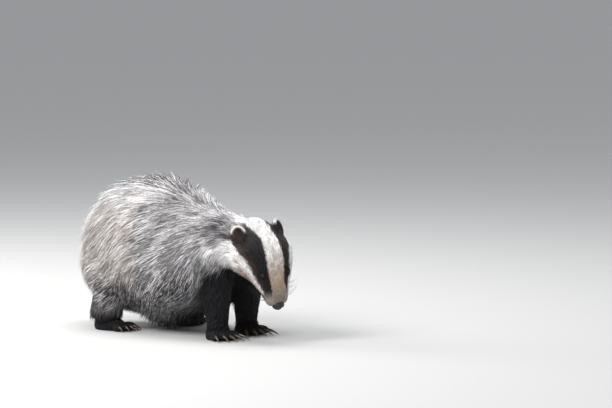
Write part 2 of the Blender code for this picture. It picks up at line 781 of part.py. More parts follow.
def main():
    clear_scene()
    collection = bpy.data.collections.new("badger")
    bpy.context.scene.collection.children.link(collection)
    materials = {name: make_material(name) for name in COLOURS}
    grow = GAP / MM
    made = {}

    surface = coat_surface()
    made["torso"] = make_torso(surface)
    made["neck"] = make_neck(surface)
    combine(made["neck"], [make_head(grow)], "DIFFERENCE")
    made["head"] = make_head()
    made["jaw"] = make_jaw()
    combine(made["jaw"], [make_head(grow), make_lip(-1, grow), make_lip(1, grow)], "DIFFERENCE")
    combine(made["head"], [make_lid(-1), make_lid(1), make_lip(-1), make_lip(1)], "UNION")
    combine(made["head"], [make_eye("socket", -1, grow), make_eye("socket", 1, grow)], "DIFFERENCE")
    combine(made["head"], [make_nose(grow)], "DIFFERENCE")
    made["nose"] = make_nose()
    sides = (("left", 1), ("right", -1))
    for word, sign in sides:
        made["eye_" + word] = make_eye("eye_" + word, sign)
        made["ear_" + word] = make_ear("ear_" + word, sign)
        combine(made["ear_" + word], [make_head(grow)], "DIFFERENCE")
    sockets = []
    made["tail"] = make_tail()
    for limb, table, paw, stride in (
        ("fore", FORELEG, FOREPAW, FORE_STRIDE),
        ("hind", HINDLEG, HINDPAW, HIND_STRIDE),
    ):
        for word, sign in sides:
            step = stride if sign > 0 else 0.0
            foot = foot_place(table, sign, step)
            leg = make_leg(f"{limb}leg_{word}", table, sign, step)
            combine(leg, [make_paw("socket", paw, foot, grow)], "DIFFERENCE")
            sockets.append(make_leg("socket", table, sign, step, grow))
            pad = make_paw(f"{limb}paw_{word}", paw, foot)
            holes = []
            for i, (spot, way) in enumerate(toe_places(paw, foot)):
                name = f"claw_{limb}_{word}_{i + 1}"
                made[name] = make_claw(name, paw, spot, way)
                holes.append(make_claw("hole", paw, spot, way, grow))
            combine(pad, holes, "DIFFERENCE")
            made[leg.name] = leg
            made[pad.name] = pad
    for name in ("torso", "neck"):
        holes = [copy_of(socket) for socket in sockets]
        if name == "torso":
            holes += [make_tail(grow=True), make_neck(surface, grow=True), make_head(grow)]
        combine(made[name], holes, "DIFFERENCE", "MANIFOLD")
    for socket in sockets:
        bpy.data.objects.remove(socket, do_unlink=True)

    centre_box(made.values())
    for name, piece in made.items():
        piece.name = name
        if name.startswith("claw"):
            kind = "claw"
        elif name.startswith("eye"):
            kind = "eye"
        elif name == "nose":
            kind = "nose_leather"
        elif name in ("head", "jaw") or name.startswith("ear"):
            kind = "white_fur"
        elif "leg" in name or "paw" in name:
            kind = "dark_fur"
        else:
            kind = "grey_coat"
        finish(collection, piece, materials[kind])


main()
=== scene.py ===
"""A European badger in its long winter coat, standing with an arched back and its head lowered.

Shapes are worked out in millimetres in the animal's own frame: +X ahead, +Y to its left, +Z up,
the soles on Z = 0. to_metres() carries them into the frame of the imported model.
"""

import math

import bmesh
import bpy
import numpy as np
from mathutils import Matrix, Vector
from mathutils.bvhtree import BVHTree
from mathutils.kdtree import KDTree


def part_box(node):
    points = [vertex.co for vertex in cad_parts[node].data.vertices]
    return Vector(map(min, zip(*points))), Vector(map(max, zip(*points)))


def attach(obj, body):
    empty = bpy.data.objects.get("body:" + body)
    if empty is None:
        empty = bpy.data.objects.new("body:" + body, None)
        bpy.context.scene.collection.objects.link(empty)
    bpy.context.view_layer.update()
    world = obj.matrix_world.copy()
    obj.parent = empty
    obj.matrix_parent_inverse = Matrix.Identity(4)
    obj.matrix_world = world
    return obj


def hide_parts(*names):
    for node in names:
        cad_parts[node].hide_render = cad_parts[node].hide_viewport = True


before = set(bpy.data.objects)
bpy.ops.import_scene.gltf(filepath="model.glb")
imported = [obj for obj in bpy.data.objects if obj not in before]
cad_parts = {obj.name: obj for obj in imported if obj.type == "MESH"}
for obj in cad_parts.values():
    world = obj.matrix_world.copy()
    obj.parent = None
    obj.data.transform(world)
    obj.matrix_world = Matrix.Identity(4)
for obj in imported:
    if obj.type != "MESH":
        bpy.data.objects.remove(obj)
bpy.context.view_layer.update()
MM = 0.001
SEED = 11

# Spine in plan: a shallow bow that carries rump and head to the animal's right
SPINE_BEND = 0.00052
SPINE_APEX = -50.0

# Body out to the tips of the coat: x, height of the widest line, tilt of the section in degrees,
# reach above and below that line, half width
BODY = (
    (-248, 128, 0, 134, 72, 104),
    (-200, 130, 0, 150, 86, 113),
    (-150, 130, 0, 166, 94, 121),
    (-80, 130, 0, 178, 98, 131),
    (-20, 130, 0, 162, 98, 135),
    (40, 132, 0, 124, 94, 131),
    (90, 138, 0, 102, 86, 120),
    (130, 150, 8, 90, 78, 104),
    (160, 160, 22, 82, 68, 86),
    (182, 168, 40, 66, 56, 64),
    (196, 160, 60, 53, 44, 46),
)
RUMP_ROUNDING = 110.0
ROOF = 1.18
FLANK_FULLNESS = 0.92
BELLY_FULLNESS = 0.95
NECK_END = 10.0
# How deep the skin lies under the tips of the coat, by the body's stations
BODY_DEPTH = ((0, 20), (5, 20), (7.5, 15), (9, 8), (10, 6))

# Head in its own axes: along the muzzle, to the animal's left, and out of the forehead
HEAD_ORIGIN = Vector((213, -40, 220))
HEAD_YAW = math.radians(-18)
HEAD_SWING = math.radians(17)
HEAD_LEAN = math.radians(6.8)
HEAD = (
    (-22, 2, 42, 34),
    (-8, 4, 50, 42),
    (8, 10, 53, 48),
    (26, 24, 52, 57),
    (46, 35, 48, 63),
    (66, 38, 40, 60),
    (88, 34, 27, 51),
    (108, 29, 16, 41),
    (128, 24, 11, 32),
    (144, 20, 9, 26),
    (158, 15, 7, 22),
)
CROWN_ROUNDING = 24.0
MUZZLE_ROUNDING = 9.0
HEAD_DEPTH = 1.4
JAW = ((62, 0, 44, 30), (80, 0, 40, 27), (100, 0, 33, 21), (120, 0, 27, 16), (144, 0, 19, 10))
JAW_ROUNDING = 8.0
EYE_ROW = 6.52
EYE_TURN = math.radians(52)
EYE_DEPTH = 2.6
EYE_RADIUS = 5.4
EYE_SUNK = 0.7
# The lids: their thickness over the eye, the opening's half sizes, and their reach in eye radii
LID_THICKNESS = 1.0
LID_OPENING = (4.5, 3.3)
LID_REACH = 2.1
NOSE_PLACE = (157, 6)
NOSE_SIZE = (9, 12.5, 9.5)
# The two hollows of each nostril: ahead of the pad's middle, to its side, up, size, depth
NOSTRILS = ((6.6, 5.2, 1.2, 2.9, 4.2), (5.0, 8.6, -0.6, 2.4, 3.0))
EAR_PLACE = (8, 45, 2)
EAR_SIZE = (19, 17, 10)
EAR_CUP = (14, 12.5, 9)
EAR_DEPTH = 1.6
LIP_CORNER = (5.5, math.radians(-40))
LIP_FRONT = (9.35, math.radians(-62))
LIP_RADIUS = 2.6
MOUTH_WIDTH = 3.0
MOUTH_DEPTH = 2.4
# Whiskers: rows along the head, turns round it in degrees, and least and greatest length
WHISKER_ROWS = (7.6, 8.0, 8.4, 8.8)
WHISKER_TURNS = (-26, -12, 2)
WHISKER_LENGTH = (15, 26)

# Legs as level rings: z, x, y, half length, half width
FORELEG = (
    (150, 128, 44, 30, 26),
    (118, 130, 46, 34, 28),
    (88, 132, 49, 32, 27),
    (60, 135, 51, 27, 24),
    (38, 138, 52, 23, 22),
    (22, 140, 53, 21, 21),
)
HINDLEG = (
    (155, -145, 70, 46, 28),
    (122, -140, 76, 48, 31),
    (92, -134, 79, 42, 29),
    (62, -135, 82, 30, 24),
    (38, -139, 84, 24, 22),
    (22, -140, 84, 22, 21),
)
LEG_DEPTH = 4.0
FORE_STRIDE = -22.0
HIND_STRIDE = 34.0
FOREPAW = {"length": 62, "width": 54, "height": 30, "back": -22, "toe": 11.5, "claw": 27}
HINDPAW = {"length": 84, "width": 48, "height": 28, "back": -26, "toe": 10.5, "claw": 15}
LIMBS = (("fore", FORELEG, FOREPAW, FORE_STRIDE), ("hind", HINDLEG, HINDPAW, HIND_STRIDE))
SIDES = (("left", 1), ("right", -1))
TOE_COUNT = 5
TOE_SPREAD = math.radians(11)
PAW_DEPTH = 1.2
# Height of a toe's middle over the floor, in toe sizes
TOE_LIFT = 0.78
CLAW_SECTIONS = 9

# Tail out to its tips: distance down the tail, x, y, z, radius
TAIL = (
    (0, -224, -4, 178, 24),
    (35, -249, 0, 160, 29),
    (75, -262, 8, 124, 30),
    (115, -266, 16, 86, 24),
    (150, -267, 22, 52, 10),
)
TAIL_DEPTH = 15.0

SKIN_VOXEL = 2.6 * MM
# How near to both head and body the skin is drawn smooth, so that no crease is left between them
NECK_JOIN = 30.0
# Least height of the skin and of the hair over the floor
SOLE_GAP = 0.3
HAIR_GAP = 1.2


def turns(count):
    return [2 * math.pi * i / count for i in range(count)]


def steps(first, last, count):
    return [first + (last - first) * i / (count - 1) for i in range(count)]


def share_between(value, first, last):
    """How far value has come from first to last, held between 0 and 1."""
    return np.clip((value - first) / (last - first), 0.0, 1.0)


def table_at(value, pairs):
    """The value of a table of pairs, straight between its rows."""
    return np.interp(value, [row[0] for row in pairs], [row[1] for row in pairs])


def smooth(table, place):
    """A row of the table at a fractional index, on a curve that runs through every row."""
    last = len(table) - 1
    index = min(max(int(math.floor(place)), 0), last - 1)
    t = place - index
    rows = [table[min(max(index + step, 0), last)] for step in (-1, 0, 1, 2)]
    return [
        0.5 * (2 * b + (c - a) * t + (2 * a - 5 * b + 4 * c - d) * t**2 + (3 * b - a - 3 * c + d) * t**3)
        for a, b, c, d in zip(*rows)
    ]


def dome(distance, length):
    """How full a section is at a distance from a rounded end."""
    if distance >= length:
        return 1.0
    return math.sqrt(max(0.0, 1.0 - (1.0 - distance / length) ** 2))


def spine_y(x):
    return -SPINE_BEND * (x - SPINE_APEX) ** 2


def body_point(place, turn):
    """A point on the tips of the body's coat: turn 0 is the left flank, a quarter turn the back."""
    x, middle, tilt, above, below, half = smooth(BODY, place)
    slope = -2 * SPINE_BEND * (x - SPINE_APEX)
    ahead = Vector((1, slope, 0)).normalized()
    left = Vector((-ahead.y, ahead.x, 0))
    lean = math.radians(tilt)
    up = Vector((0, 0, 1)) * math.cos(lean) + ahead * math.sin(lean)
    full = dome(x - BODY[0][0], RUMP_ROUNDING)
    side, rise = math.cos(turn), math.sin(turn)
    reach = above if rise > 0 else below
    side = math.copysign(abs(side) ** FLANK_FULLNESS, side)
    rise = rise**ROOF if rise > 0 else -(abs(rise) ** BELLY_FULLNESS)
    centre = Vector((x, spine_y(x), middle))
    return centre + left * (side * half * full) + up * (rise * reach * full)


def body_normal(place, turn):
    step = 0.02
    along = body_point(place + step, turn) - body_point(place - step, turn)
    around = body_point(place, turn + step) - body_point(place, turn - step)
    return along.cross(around).normalized() * -1


def head_turn():
    """The turn from the head's own axes to the animal's: along, left and outward as columns."""
    hanging = Matrix(((0, 0, 1), (0, 1, 0), (-1, 0, 0)))
    swing = Matrix.Rotation(-HEAD_SWING, 3, "Y")
    lean = Matrix.Rotation(HEAD_LEAN, 3, "X")
    return (Matrix.Rotation(HEAD_YAW, 3, "Z") @ swing @ lean @ hanging).to_4x4()


HEAD_AXES = np.array(head_turn().to_3x3())


def head_place(along, side, out):
    """A point given in the head's own axes, in the animal's."""
    return HEAD_ORIGIN + head_turn() @ Vector((along, side, out))


def head_local(spots):
    """Places of the animal in the head's own axes."""
    return (np.asarray(spots) - np.array(HEAD_ORIGIN)) @ HEAD_AXES


def skull_section(table, place, turn, start_rounding, end_rounding, depth=0.0):
    along, above, below, half = smooth(table, place)
    full = dome(along - table[0][0], start_rounding) * dome(table[-1][0] - along, end_rounding)
    side, rise = math.cos(turn), math.sin(turn)
    side = math.copysign(abs(side) ** 0.95, side)
    middle, reach = (above - below) / 2, (above + below) / 2 - depth
    return head_place(along, side * (half - depth) * full, middle + rise * reach * full)


def head_point(row, turn, depth=0.0):
    return skull_section(HEAD, row, turn, CROWN_ROUNDING, MUZZLE_ROUNDING, depth)


def head_slope(row, turn):
    """The way along the head's surface, not yet of length one."""
    return head_point(row + 0.1, turn) - head_point(row - 0.1, turn)


def on_side(turn, sign):
    """A turn round the head that is given for its left, on the side that is meant."""
    return turn if sign > 0 else math.pi - turn


def eye_spot(sign):
    """The place on the head over the eye, and the way that the eye looks."""
    turn = on_side(EYE_TURN, sign)
    spot = head_point(EYE_ROW, turn)
    around = head_point(EYE_ROW, turn + 0.1) - head_point(EYE_ROW, turn - 0.1)
    facing = around.cross(head_slope(EYE_ROW, turn)).normalized()
    if facing.dot(spot - head_place(98, 0, 0)) < 0:
        facing.negate()
    return spot, facing


def eye_middle(sign, deeper=0.0):
    spot, facing = eye_spot(sign)
    return spot - facing * (EYE_DEPTH + deeper)


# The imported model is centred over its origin, so its eye tells how far it was moved
SHIFT = (sum(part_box("eye_left"), Vector()) / 2) / MM - eye_middle(1)


def to_metres(point):
    return (Vector(point) + SHIFT) * MM


def middle_of(ring):
    return sum(ring, Vector()) / len(ring)


def deselect():
    if bpy.context.mode != "OBJECT":
        bpy.ops.object.mode_set(mode="OBJECT")
    bpy.ops.object.select_all(action="DESELECT")


def pick(thing):
    """Makes one object the selected and active one."""
    deselect()
    thing.select_set(True)
    bpy.context.view_layer.objects.active = thing


def linked(name, data):
    """A new object in the scene for a mesh, a lamp or a camera."""
    made = bpy.data.objects.new(name, data)
    bpy.context.scene.collection.objects.link(made)
    return made


def copied(thing):
    """A copy of an object, with a mesh of its own."""
    return linked(thing.name, thing.data.copy())


def apply_modifier(thing, kind, **settings):
    """Changes an object's mesh by a modifier with its settings."""
    modifier = thing.modifiers.new(kind.lower(), kind)
    for name, value in settings.items():
        setattr(modifier, name, value)
    pick(thing)
    bpy.ops.object.modifier_apply(modifier=modifier.name)


def new_object(name, work):
    mesh = bpy.data.meshes.new(name)
    work.to_mesh(mesh)
    work.free()
    return linked(name, mesh)


def loft(name, rings, start=None, end=None):
    """A closed solid through rings of equally many points, closed at both ends on a point."""
    start = middle_of(rings[0]) if start is None else start
    end = middle_of(rings[-1]) if end is None else end
    work = bmesh.new()
    made = [[work.verts.new(to_metres(point)) for point in ring] for ring in rings]
    count = len(rings[0])
    for first, second in zip(made, made[1:]):
        for i in range(count):
            j = (i + 1) % count
            work.faces.new((first[i], first[j], second[j], second[i]))
    for ring, tip in ((made[0], start), (made[-1], end)):
        point = work.verts.new(to_metres(tip))
        for i in range(count):
            work.faces.new((ring[i], ring[(i + 1) % count], point))
    bmesh.ops.recalc_face_normals(work, faces=work.faces)
    return new_object(name, work)


def ball(name, sizes, place, turn, segments=24):
    """An ellipsoid with half sizes in millimetres, turned and set in place."""
    deselect()
    bpy.ops.mesh.primitive_uv_sphere_add(segments=segments, ring_count=segments // 2, radius=1.0)
    made = bpy.context.object
    made.name = name
    scale = Matrix.Diagonal([size * MM for size in sizes] + [1.0])
    made.data.transform(Matrix.Translation(to_metres(place)) @ turn @ scale)
    return made


def cut_with(target, cutter):
    """Cuts one solid out of another and removes it."""
    apply_modifier(target, "BOOLEAN", operation="DIFFERENCE", object=cutter)
    bpy.data.objects.remove(cutter, do_unlink=True)


def body_flesh():
    rings = []
    for place in [0.02, 0.08, 0.2, 0.4, 0.7] + steps(1.0, NECK_END, 30):
        depth = float(table_at(place, BODY_DEPTH))
        rings.append([body_point(place, t) - body_normal(place, t) * depth for t in turns(48)])
    start = body_point(0, 0) + Vector((BODY_DEPTH[0][1], 0, 0))
    return loft("body", rings, start, middle_of(rings[-1]))


def head_flesh():
    places = [0.03, 0.15, 0.4, 0.75] + steps(1.1, 9.3, 24) + [9.5, 9.7, 9.85, 9.93]
    rings = [[head_point(p, t, HEAD_DEPTH) for t in turns(44)] for p in places]
    return loft("head", rings, head_place(HEAD[0][0], 0, -20), head_place(HEAD[-1][0], 0, 4))


def jaw_flesh():
    places = [0.1, 0.4] + steps(1.0, 3.5, 8) + [3.8, 3.95]
    rounding = (JAW_ROUNDING, JAW_ROUNDING)
    rings = [[skull_section(JAW, p, t, *rounding, HEAD_DEPTH) for t in turns(24)] for p in places]
    return loft("jaw", rings)


def lip_flesh(sign):
    """The roll of the upper lip on one side, thickest in the middle of its length."""
    rings = []
    for t in steps(0, 1, 16):
        row = LIP_CORNER[0] + (LIP_FRONT[0] - LIP_CORNER[0]) * t
        turn = on_side(LIP_CORNER[1] + (LIP_FRONT[1] - LIP_CORNER[1]) * t, sign)
        middle = head_point(row, turn, HEAD_DEPTH)
        along = head_slope(row, turn).normalized()
        inward = head_place(smooth(HEAD, row)[0], 0, 0) - middle
        across = (inward - along * inward.dot(along)).normalized()
        radius = LIP_RADIUS * (0.5 + 0.5 * math.sin(math.pi * t))
        rings.append([middle + Matrix.Rotation(a, 3, along) @ across * radius for a in turns(10)])
    return loft("lip", rings)


def ear_flesh(sign):
    """A rounded cup that opens forward and outward."""
    along, side, out = EAR_PLACE
    turn = head_turn() @ Matrix.Rotation(sign * math.radians(-35), 4, "X")
    sizes = [size - EAR_DEPTH for size in EAR_SIZE]
    ear = ball("ear", sizes, head_place(along, sign * side, out), turn)
    opening = (head_place(0, sign * 0.45, 0.85) - HEAD_ORIGIN).normalized()
    cup_at = head_place(along - 1, sign * (side + 1), out) + opening * 8
    cut_with(ear, ball("cup", EAR_CUP, cup_at, turn))
    return ear


def leg_flesh(table, side, stride):
    rings = []
    top, bottom = table[0][0], table[-1][0]
    for place in steps(0, 5, 16):
        z, x, y, long, wide = smooth(table, place)
        full = 0.35 + 0.65 * dome(top - z, 14.0)
        ahead = stride * (top - z) / (top - bottom)
        centre = Vector((x + ahead, spine_y(x) + side * y, z))
        long, wide = long * full - LEG_DEPTH, wide * full - LEG_DEPTH
        rings.append([centre + Vector((math.cos(t) * long, math.sin(t) * wide, 0)) for t in turns(24)])
    return loft("leg", rings, middle_of(rings[0]), middle_of(rings[-1]) - Vector((0, 0, 8)))


def foot_place(table, side, stride):
    _, x, y = table[-1][:3]
    return Vector((x + stride, spine_y(x) + side * y, 0))


def foot_heading(foot):
    return math.atan2(-2 * SPINE_BEND * (foot.x - SPINE_APEX), 1)


def toe_places(paw, foot):
    """The middle and the heading of each toe, fanned across the front of the paw."""
    heading = foot_heading(foot)
    places = []
    for i in range(TOE_COUNT):
        across = i - (TOE_COUNT - 1) / 2
        turn = heading - across * TOE_SPREAD
        ahead = paw["length"] + paw["back"] - paw["toe"] * (1.15 + 0.16 * across**2)
        sideways = -across * paw["width"] * 0.205
        spot = Vector((ahead, sideways, paw["toe"] * TOE_LIFT))
        spot.rotate(Matrix.Rotation(heading, 3, "Z"))
        places.append((foot + spot, turn))
    return places


def paw_flesh(paw, foot):
    """Pad and toes of a foot, cut level just above the floor."""
    heading = foot_heading(foot)
    turn = Matrix.Rotation(heading, 4, "Z")
    middle = Vector((paw["length"] * 0.40 + paw["back"], 0, paw["height"] * 0.30))
    middle.rotate(turn.to_3x3())
    sizes = (paw["length"] * 0.44, paw["width"] * 0.47, paw["height"] * 0.70)
    pieces = [ball("pad", [size - PAW_DEPTH for size in sizes], foot + middle, turn)]
    for spot, way in toe_places(paw, foot):
        sizes = (paw["toe"] * 1.55, paw["toe"] * 0.62, paw["toe"] * 0.85)
        sizes = [size - PAW_DEPTH * 0.3 for size in sizes]
        pieces.append(ball("toe", sizes, spot, Matrix.Rotation(way, 4, "Z"), 16))
    return pieces


def tail_middle(place):
    return Vector(smooth(TAIL, place)[1:4])


def tail_flesh():
    rings = []
    for place in [0.0, 0.25] + steps(0.6, 3.6, 12):
        distance, *_, radius = smooth(TAIL, place)
        middle = tail_middle(place)
        way = (tail_middle(min(place + 0.05, 4)) - tail_middle(max(place - 0.05, 0))).normalized()
        left = (Vector((0, 1, 0)) - way * way.y).normalized()
        up = way.cross(left)
        reach = radius * dome(distance + 6, 20) - TAIL_DEPTH
        rings.append([
            middle + left * (math.cos(t) * reach) + up * (math.sin(t) * reach) for t in turns(20)
        ])
    return loft("tail", rings, end=tail_middle(4) + Vector((0, 0, 18)))


def joined(pieces, name):
    deselect()
    for piece in pieces:
        piece.select_set(True)
    bpy.context.view_layer.objects.active = pieces[0]
    if len(pieces) > 1:
        bpy.ops.object.join()
    pieces[0].name = name
    return pieces[0]


def fetched(rows, name, width=1, kind=float):
    """One property of all rows of a mesh's vertices, edges, corners or an attribute."""
    values = np.empty(len(rows) * width, dtype=kind)
    rows.foreach_get(name, values)
    return values.reshape(-1, width) if width > 1 else values


def put_attribute(mesh, name, values):
    """Keeps a number, or a colour in three columns, at every vertex of a mesh."""
    if values.ndim == 1:
        layer = mesh.attributes.new(name, "FLOAT", "POINT")
        layer.data.foreach_set("value", values.astype(np.float32))
        return
    layer = mesh.attributes.new(name, "FLOAT_COLOR", "POINT")
    packed = np.ones((len(values), 4), dtype=np.float32)
    packed[:, :3] = values
    layer.data.foreach_set("color", packed.ravel())


def mesh_arrays(thing):
    """Vertices in millimetres of the animal, normals, and edges."""
    mesh = thing.data
    spots = fetched(mesh.vertices, "co", 3) / MM - np.array(SHIFT)
    return spots, fetched(mesh.vertices, "normal", 3), fetched(mesh.edges, "vertices", 2, np.int64)


def coordinates(spots):
    """Places in millimetres of the animal as one row of numbers in metres."""
    return ((spots + np.array(SHIFT)) * MM).ravel()


def put_vertices(thing, spots):
    thing.data.vertices.foreach_set("co", coordinates(spots))
    thing.data.update()


def relax(values, edges, rounds, weight=1.0):
    """Draws every vertex's value toward the mean of its neighbours'."""
    values = np.array(values, dtype=float)
    flat = values.reshape(len(values), -1)
    a, b = edges.T
    size, columns = flat.shape
    count = np.maximum(np.bincount(a, minlength=size) + np.bincount(b, minlength=size), 1)
    weight = np.broadcast_to(np.asarray(weight, dtype=float), (size,))[:, None]
    for _ in range(rounds):
        sums = [
            np.bincount(a, flat[b, c], size) + np.bincount(b, flat[a, c], size) for c in range(columns)
        ]
        flat += weight * (np.stack(sums, axis=1) / count[:, None] - flat)
    return flat.reshape(values.shape)


def surface_tree(thing):
    """A search tree over an object's faces, in millimetres of the animal."""
    points = [v.co / MM - SHIFT for v in thing.data.vertices]
    return BVHTree.FromPolygons(points, [p.vertices[:] for p in thing.data.polygons])


def point_tree(points):
    """A search tree over points, which gives back their numbers in the list."""
    tree = KDTree(len(points))
    for i, point in enumerate(points):
        tree.insert(point, i)
    tree.balance()
    return tree


def distance_to(thing, spots):
    """How far each place is from an object's surface, in millimetres."""
    tree = surface_tree(thing)
    return np.array([tree.find_nearest(spot)[3] for spot in spots.tolist()])


def shape_eyes(spots):
    """Draws the lids over the edge of each eye and opens the skin in front of it."""
    for _, sign in SIDES:
        middle, facing = np.array(eye_middle(sign, EYE_SUNK)), np.array(eye_spot(sign)[1])
        along = HEAD_AXES[:, 0] - facing * HEAD_AXES[:, 0].dot(facing)
        along /= np.linalg.norm(along)
        across = np.cross(facing, along)
        offset = spots - middle
        ahead = offset @ facing
        flat = offset - ahead[:, None] * facing
        radius = np.linalg.norm(flat, axis=1)
        opening = np.hypot(flat @ along / LID_OPENING[0], flat @ across / LID_OPENING[1])
        near = (radius < EYE_RADIUS * LID_REACH) & (ahead > -4)
        lid = np.sqrt(np.maximum((EYE_RADIUS + LID_THICKNESS) ** 2 - radius**2, 0.0))
        blend = 1 - share_between(radius, EYE_RADIUS, EYE_RADIUS * LID_REACH)
        blend = blend**2 * (3 - 2 * blend)
        wanted = ahead + (np.maximum(lid, ahead - 1.0) - ahead) * blend
        wanted = np.where(opening < 1.0, -1.0, wanted)
        spots = np.where(near[:, None], middle + flat + wanted[:, None] * facing, spots)
    return spots


def mouth_line(sign):
    """Points along the slit between lip and jaw on one side."""
    points = []
    for t in steps(0, 1, 40):
        row = LIP_CORNER[0] - 0.2 + (LIP_FRONT[0] + 0.2 - LIP_CORNER[0]) * t
        turn = LIP_CORNER[1] + (LIP_FRONT[1] - LIP_CORNER[1]) * t - math.radians(9)
        points.append(head_point(row, on_side(turn, sign), HEAD_DEPTH))
    return points


def sink_mouth(spots):
    """Presses the mouth's slit into the skin."""
    for _, sign in SIDES:
        line = point_tree(mouth_line(sign))
        local = head_local(spots)
        for i in np.flatnonzero((local[:, 0] > 60) & (np.abs(local[:, 1]) < 60)):
            distance = line.find(spots[i])[2]
            if distance < MOUTH_WIDTH:
                inward = np.array(head_place(local[i, 0], 0, 8)) - spots[i]
                share = 1 - (distance / MOUTH_WIDTH) ** 2
                spots[i] += inward / np.linalg.norm(inward) * MOUTH_DEPTH * share
    return spots


def make_flesh():
    """The forms under the skin, one object for each kind of part."""
    flesh = {"body": [body_flesh()], "head": [head_flesh(), jaw_flesh(), lip_flesh(1), lip_flesh(-1)]}
    flesh["ear"] = [ear_flesh(sign) for _, sign in SIDES]
    flesh["tail"] = [tail_flesh()]
    flesh["leg"], flesh["paw"] = [], []
    for _, table, paw, stride in LIMBS:
        for _, sign in SIDES:
            step = stride if sign > 0 else 0.0
            flesh["leg"].append(leg_flesh(table, sign, step))
            flesh["paw"] += paw_flesh(paw, foot_place(table, sign, step))
    return {name: joined(pieces, name) for name, pieces in flesh.items()}


def make_skin():
    """One closed skin over the whole animal, which keeps how much each vertex is of each part."""
    parts = make_flesh()
    skin = joined([copied(part) for part in parts.values()], "skin")
    apply_modifier(skin, "REMESH", mode="VOXEL", voxel_size=SKIN_VOXEL)
    spots, _, edges = mesh_arrays(skin)
    distances = {name: distance_to(part, spots) for name, part in parts.items()}
    nearest = np.argmin(np.stack(list(distances.values())), axis=0)
    # Body, legs and tail are drawn smoother than the head, and the join of neck and head most
    names = list(parts)
    body_like = np.isin(nearest, [names.index(name) for name in ("body", "leg", "tail")]).astype(float)
    spots = relax(spots, edges, 9, relax(0.10 + 0.75 * body_like, edges, 8))
    crease = np.clip(1 - (distances["head"] + distances["body"]) / NECK_JOIN, 0, 1)
    crease *= share_between(distances["ear"], 2, 9)
    spots = relax(spots, edges, 60, 0.95 * crease)
    put_vertices(skin, spots)
    for i, (name, part) in enumerate(parts.items()):
        rounds = 18 if name in ("body", "head") else 6
        put_attribute(skin.data, "kind_" + name, relax((nearest == i).astype(float), edges, rounds))
        bpy.data.objects.remove(part, do_unlink=True)
    refine_face(skin)
    spots, _, _ = mesh_arrays(skin)
    spots = sink_mouth(shape_eyes(spots))
    spots[:, 2] = np.maximum(spots[:, 2], SOLE_GAP)
    put_vertices(skin, spots)
    return skin


def refine_face(skin):
    """Halves the skin's faces round the eyes and the muzzle, where small forms need them."""
    work = bmesh.new()
    work.from_mesh(skin.data)
    eyes = [to_metres(eye_middle(sign)) for _, sign in SIDES]
    axes = head_turn().to_3x3().inverted()
    chosen = set()
    for face in work.faces:
        middle = face.calc_center_median()
        local = axes @ (middle / MM - SHIFT - HEAD_ORIGIN)
        by_eye = min((middle - eye).length for eye in eyes) < 16 * MM
        if by_eye or (local.x > 74 and local.z < 8 and abs(local.y) < 60 and local.z > -50):
            chosen.update(face.edges)
    bmesh.ops.subdivide_edges(work, edges=list(chosen), cuts=1, use_grid_fill=True)
    bmesh.ops.triangulate(work, faces=[face for face in work.faces if len(face.verts) > 4])
    work.to_mesh(skin.data)
    work.free()


def unwrap(thing):
    """An unwrap of the skin's own shape, which the tufts take their places on."""
    pick(thing)
    bpy.ops.object.mode_set(mode="EDIT")
    bpy.ops.mesh.select_all(action="SELECT")
    bpy.ops.uv.smart_project(angle_limit=math.radians(66), island_margin=0.002)
    bpy.ops.object.mode_set(mode="OBJECT")


def linear(code):
    """The linear colour of an sRGB hex value."""
    channels = [int(code[i : i + 2], 16) / 255 for i in (1, 3, 5)]
    return np.array([c / 12.92 if c <= 0.04045 else ((c + 0.055) / 1.055) ** 2.4 for c in channels])


WHITE = linear("#E4E1DF")
CHEEK = linear("#F2EFEF")
CHEEK_LOWER = linear("#AD9888")
STRIPE = linear("#1E1A1A")
STRIPE_EDGE = linear("#4C3A31")
MUZZLE = linear("#BFA384")
MUZZLE_DARK = linear("#55422F")
LIP = linear("#A59B95")
THROAT = linear("#131113")
LIMB = linear("#141216")
BACK = linear("#F6F1F0")
FLANK = linear("#F2E7E1")
MANTLE = linear("#EDE9E9")
SHOULDER = linear("#E2DFE0")
LOW_FLANK = linear("#D8D6D9")
SMUDGE = linear("#35302F")
EAR_INSIDE = linear("#59443A")
BAND_COLOUR = linear("#29262A")
TIP_COLOUR = linear("#EFECEB")

# On the head, by the distance along it: the angle up from its side of the blaze's edge and of the
# lower edge of the black stripe, right and left, and of the lower edge of the white cheek
BLAZE_RIGHT = (
    (-20, -40), (-16, 0), (-11, 40), (6, 62), (14, 72), (26, 74),
    (49, 69), (74, 63), (102, 56), (128, 49), (150, 30),
)
BLAZE_LEFT = (
    (-20, -40), (-15, 0), (-8, 42), (12, 51), (30, 57), (46, 63),
    (61, 61), (81, 56), (100, 55), (120, 46), (150, 8),
)
STRIPE_LOW_RIGHT = (
    (-20, -32), (8, -8), (15, 1), (30, 11), (55, 19),
    (70, 22), (95, 17), (108, 13), (130, 11), (150, 9),
)
STRIPE_LOW_LEFT = (
    (-20, -32), (8, -6), (25, 15), (40, 27), (60, 39), (82, 35), (101, 29), (120, 27), (150, 18)
)
CHEEK_LOW = ((10, -62), (48, -48), (77, -32), (95, -22), (107, -12), (126, -2), (134, 8), (150, 12))
# Where the grey coat ends above the black belly, by x
GREY_LOW = (
    (-250, 70), (-150, 58), (-60, 46), (20, 52), (60, 64), (86, 80), (118, 116), (138, 148), (175, 160)
)
# Height of the coat along the middle of the back, by x
TOP_LINE = ((-230, 205), (-200, 254), (-150, 295), (-90, 305), (-20, 292), (40, 256), (130, 240))
# The rear edge of the mantle, the darker coat of the shoulders that lies over the flank: x by height
MANTLE_EDGE = (
    (80, 6), (136, -16), (175, -30), (213, -38), (244, -44),
    (252, -36), (258, -6), (264, 30), (272, 58), (290, 70),
)

EYE_PLACE = head_local([eye_spot(1)[0]])[0]


def mixed(first, second, share):
    return first + (second - first) * np.asarray(share)[..., None]


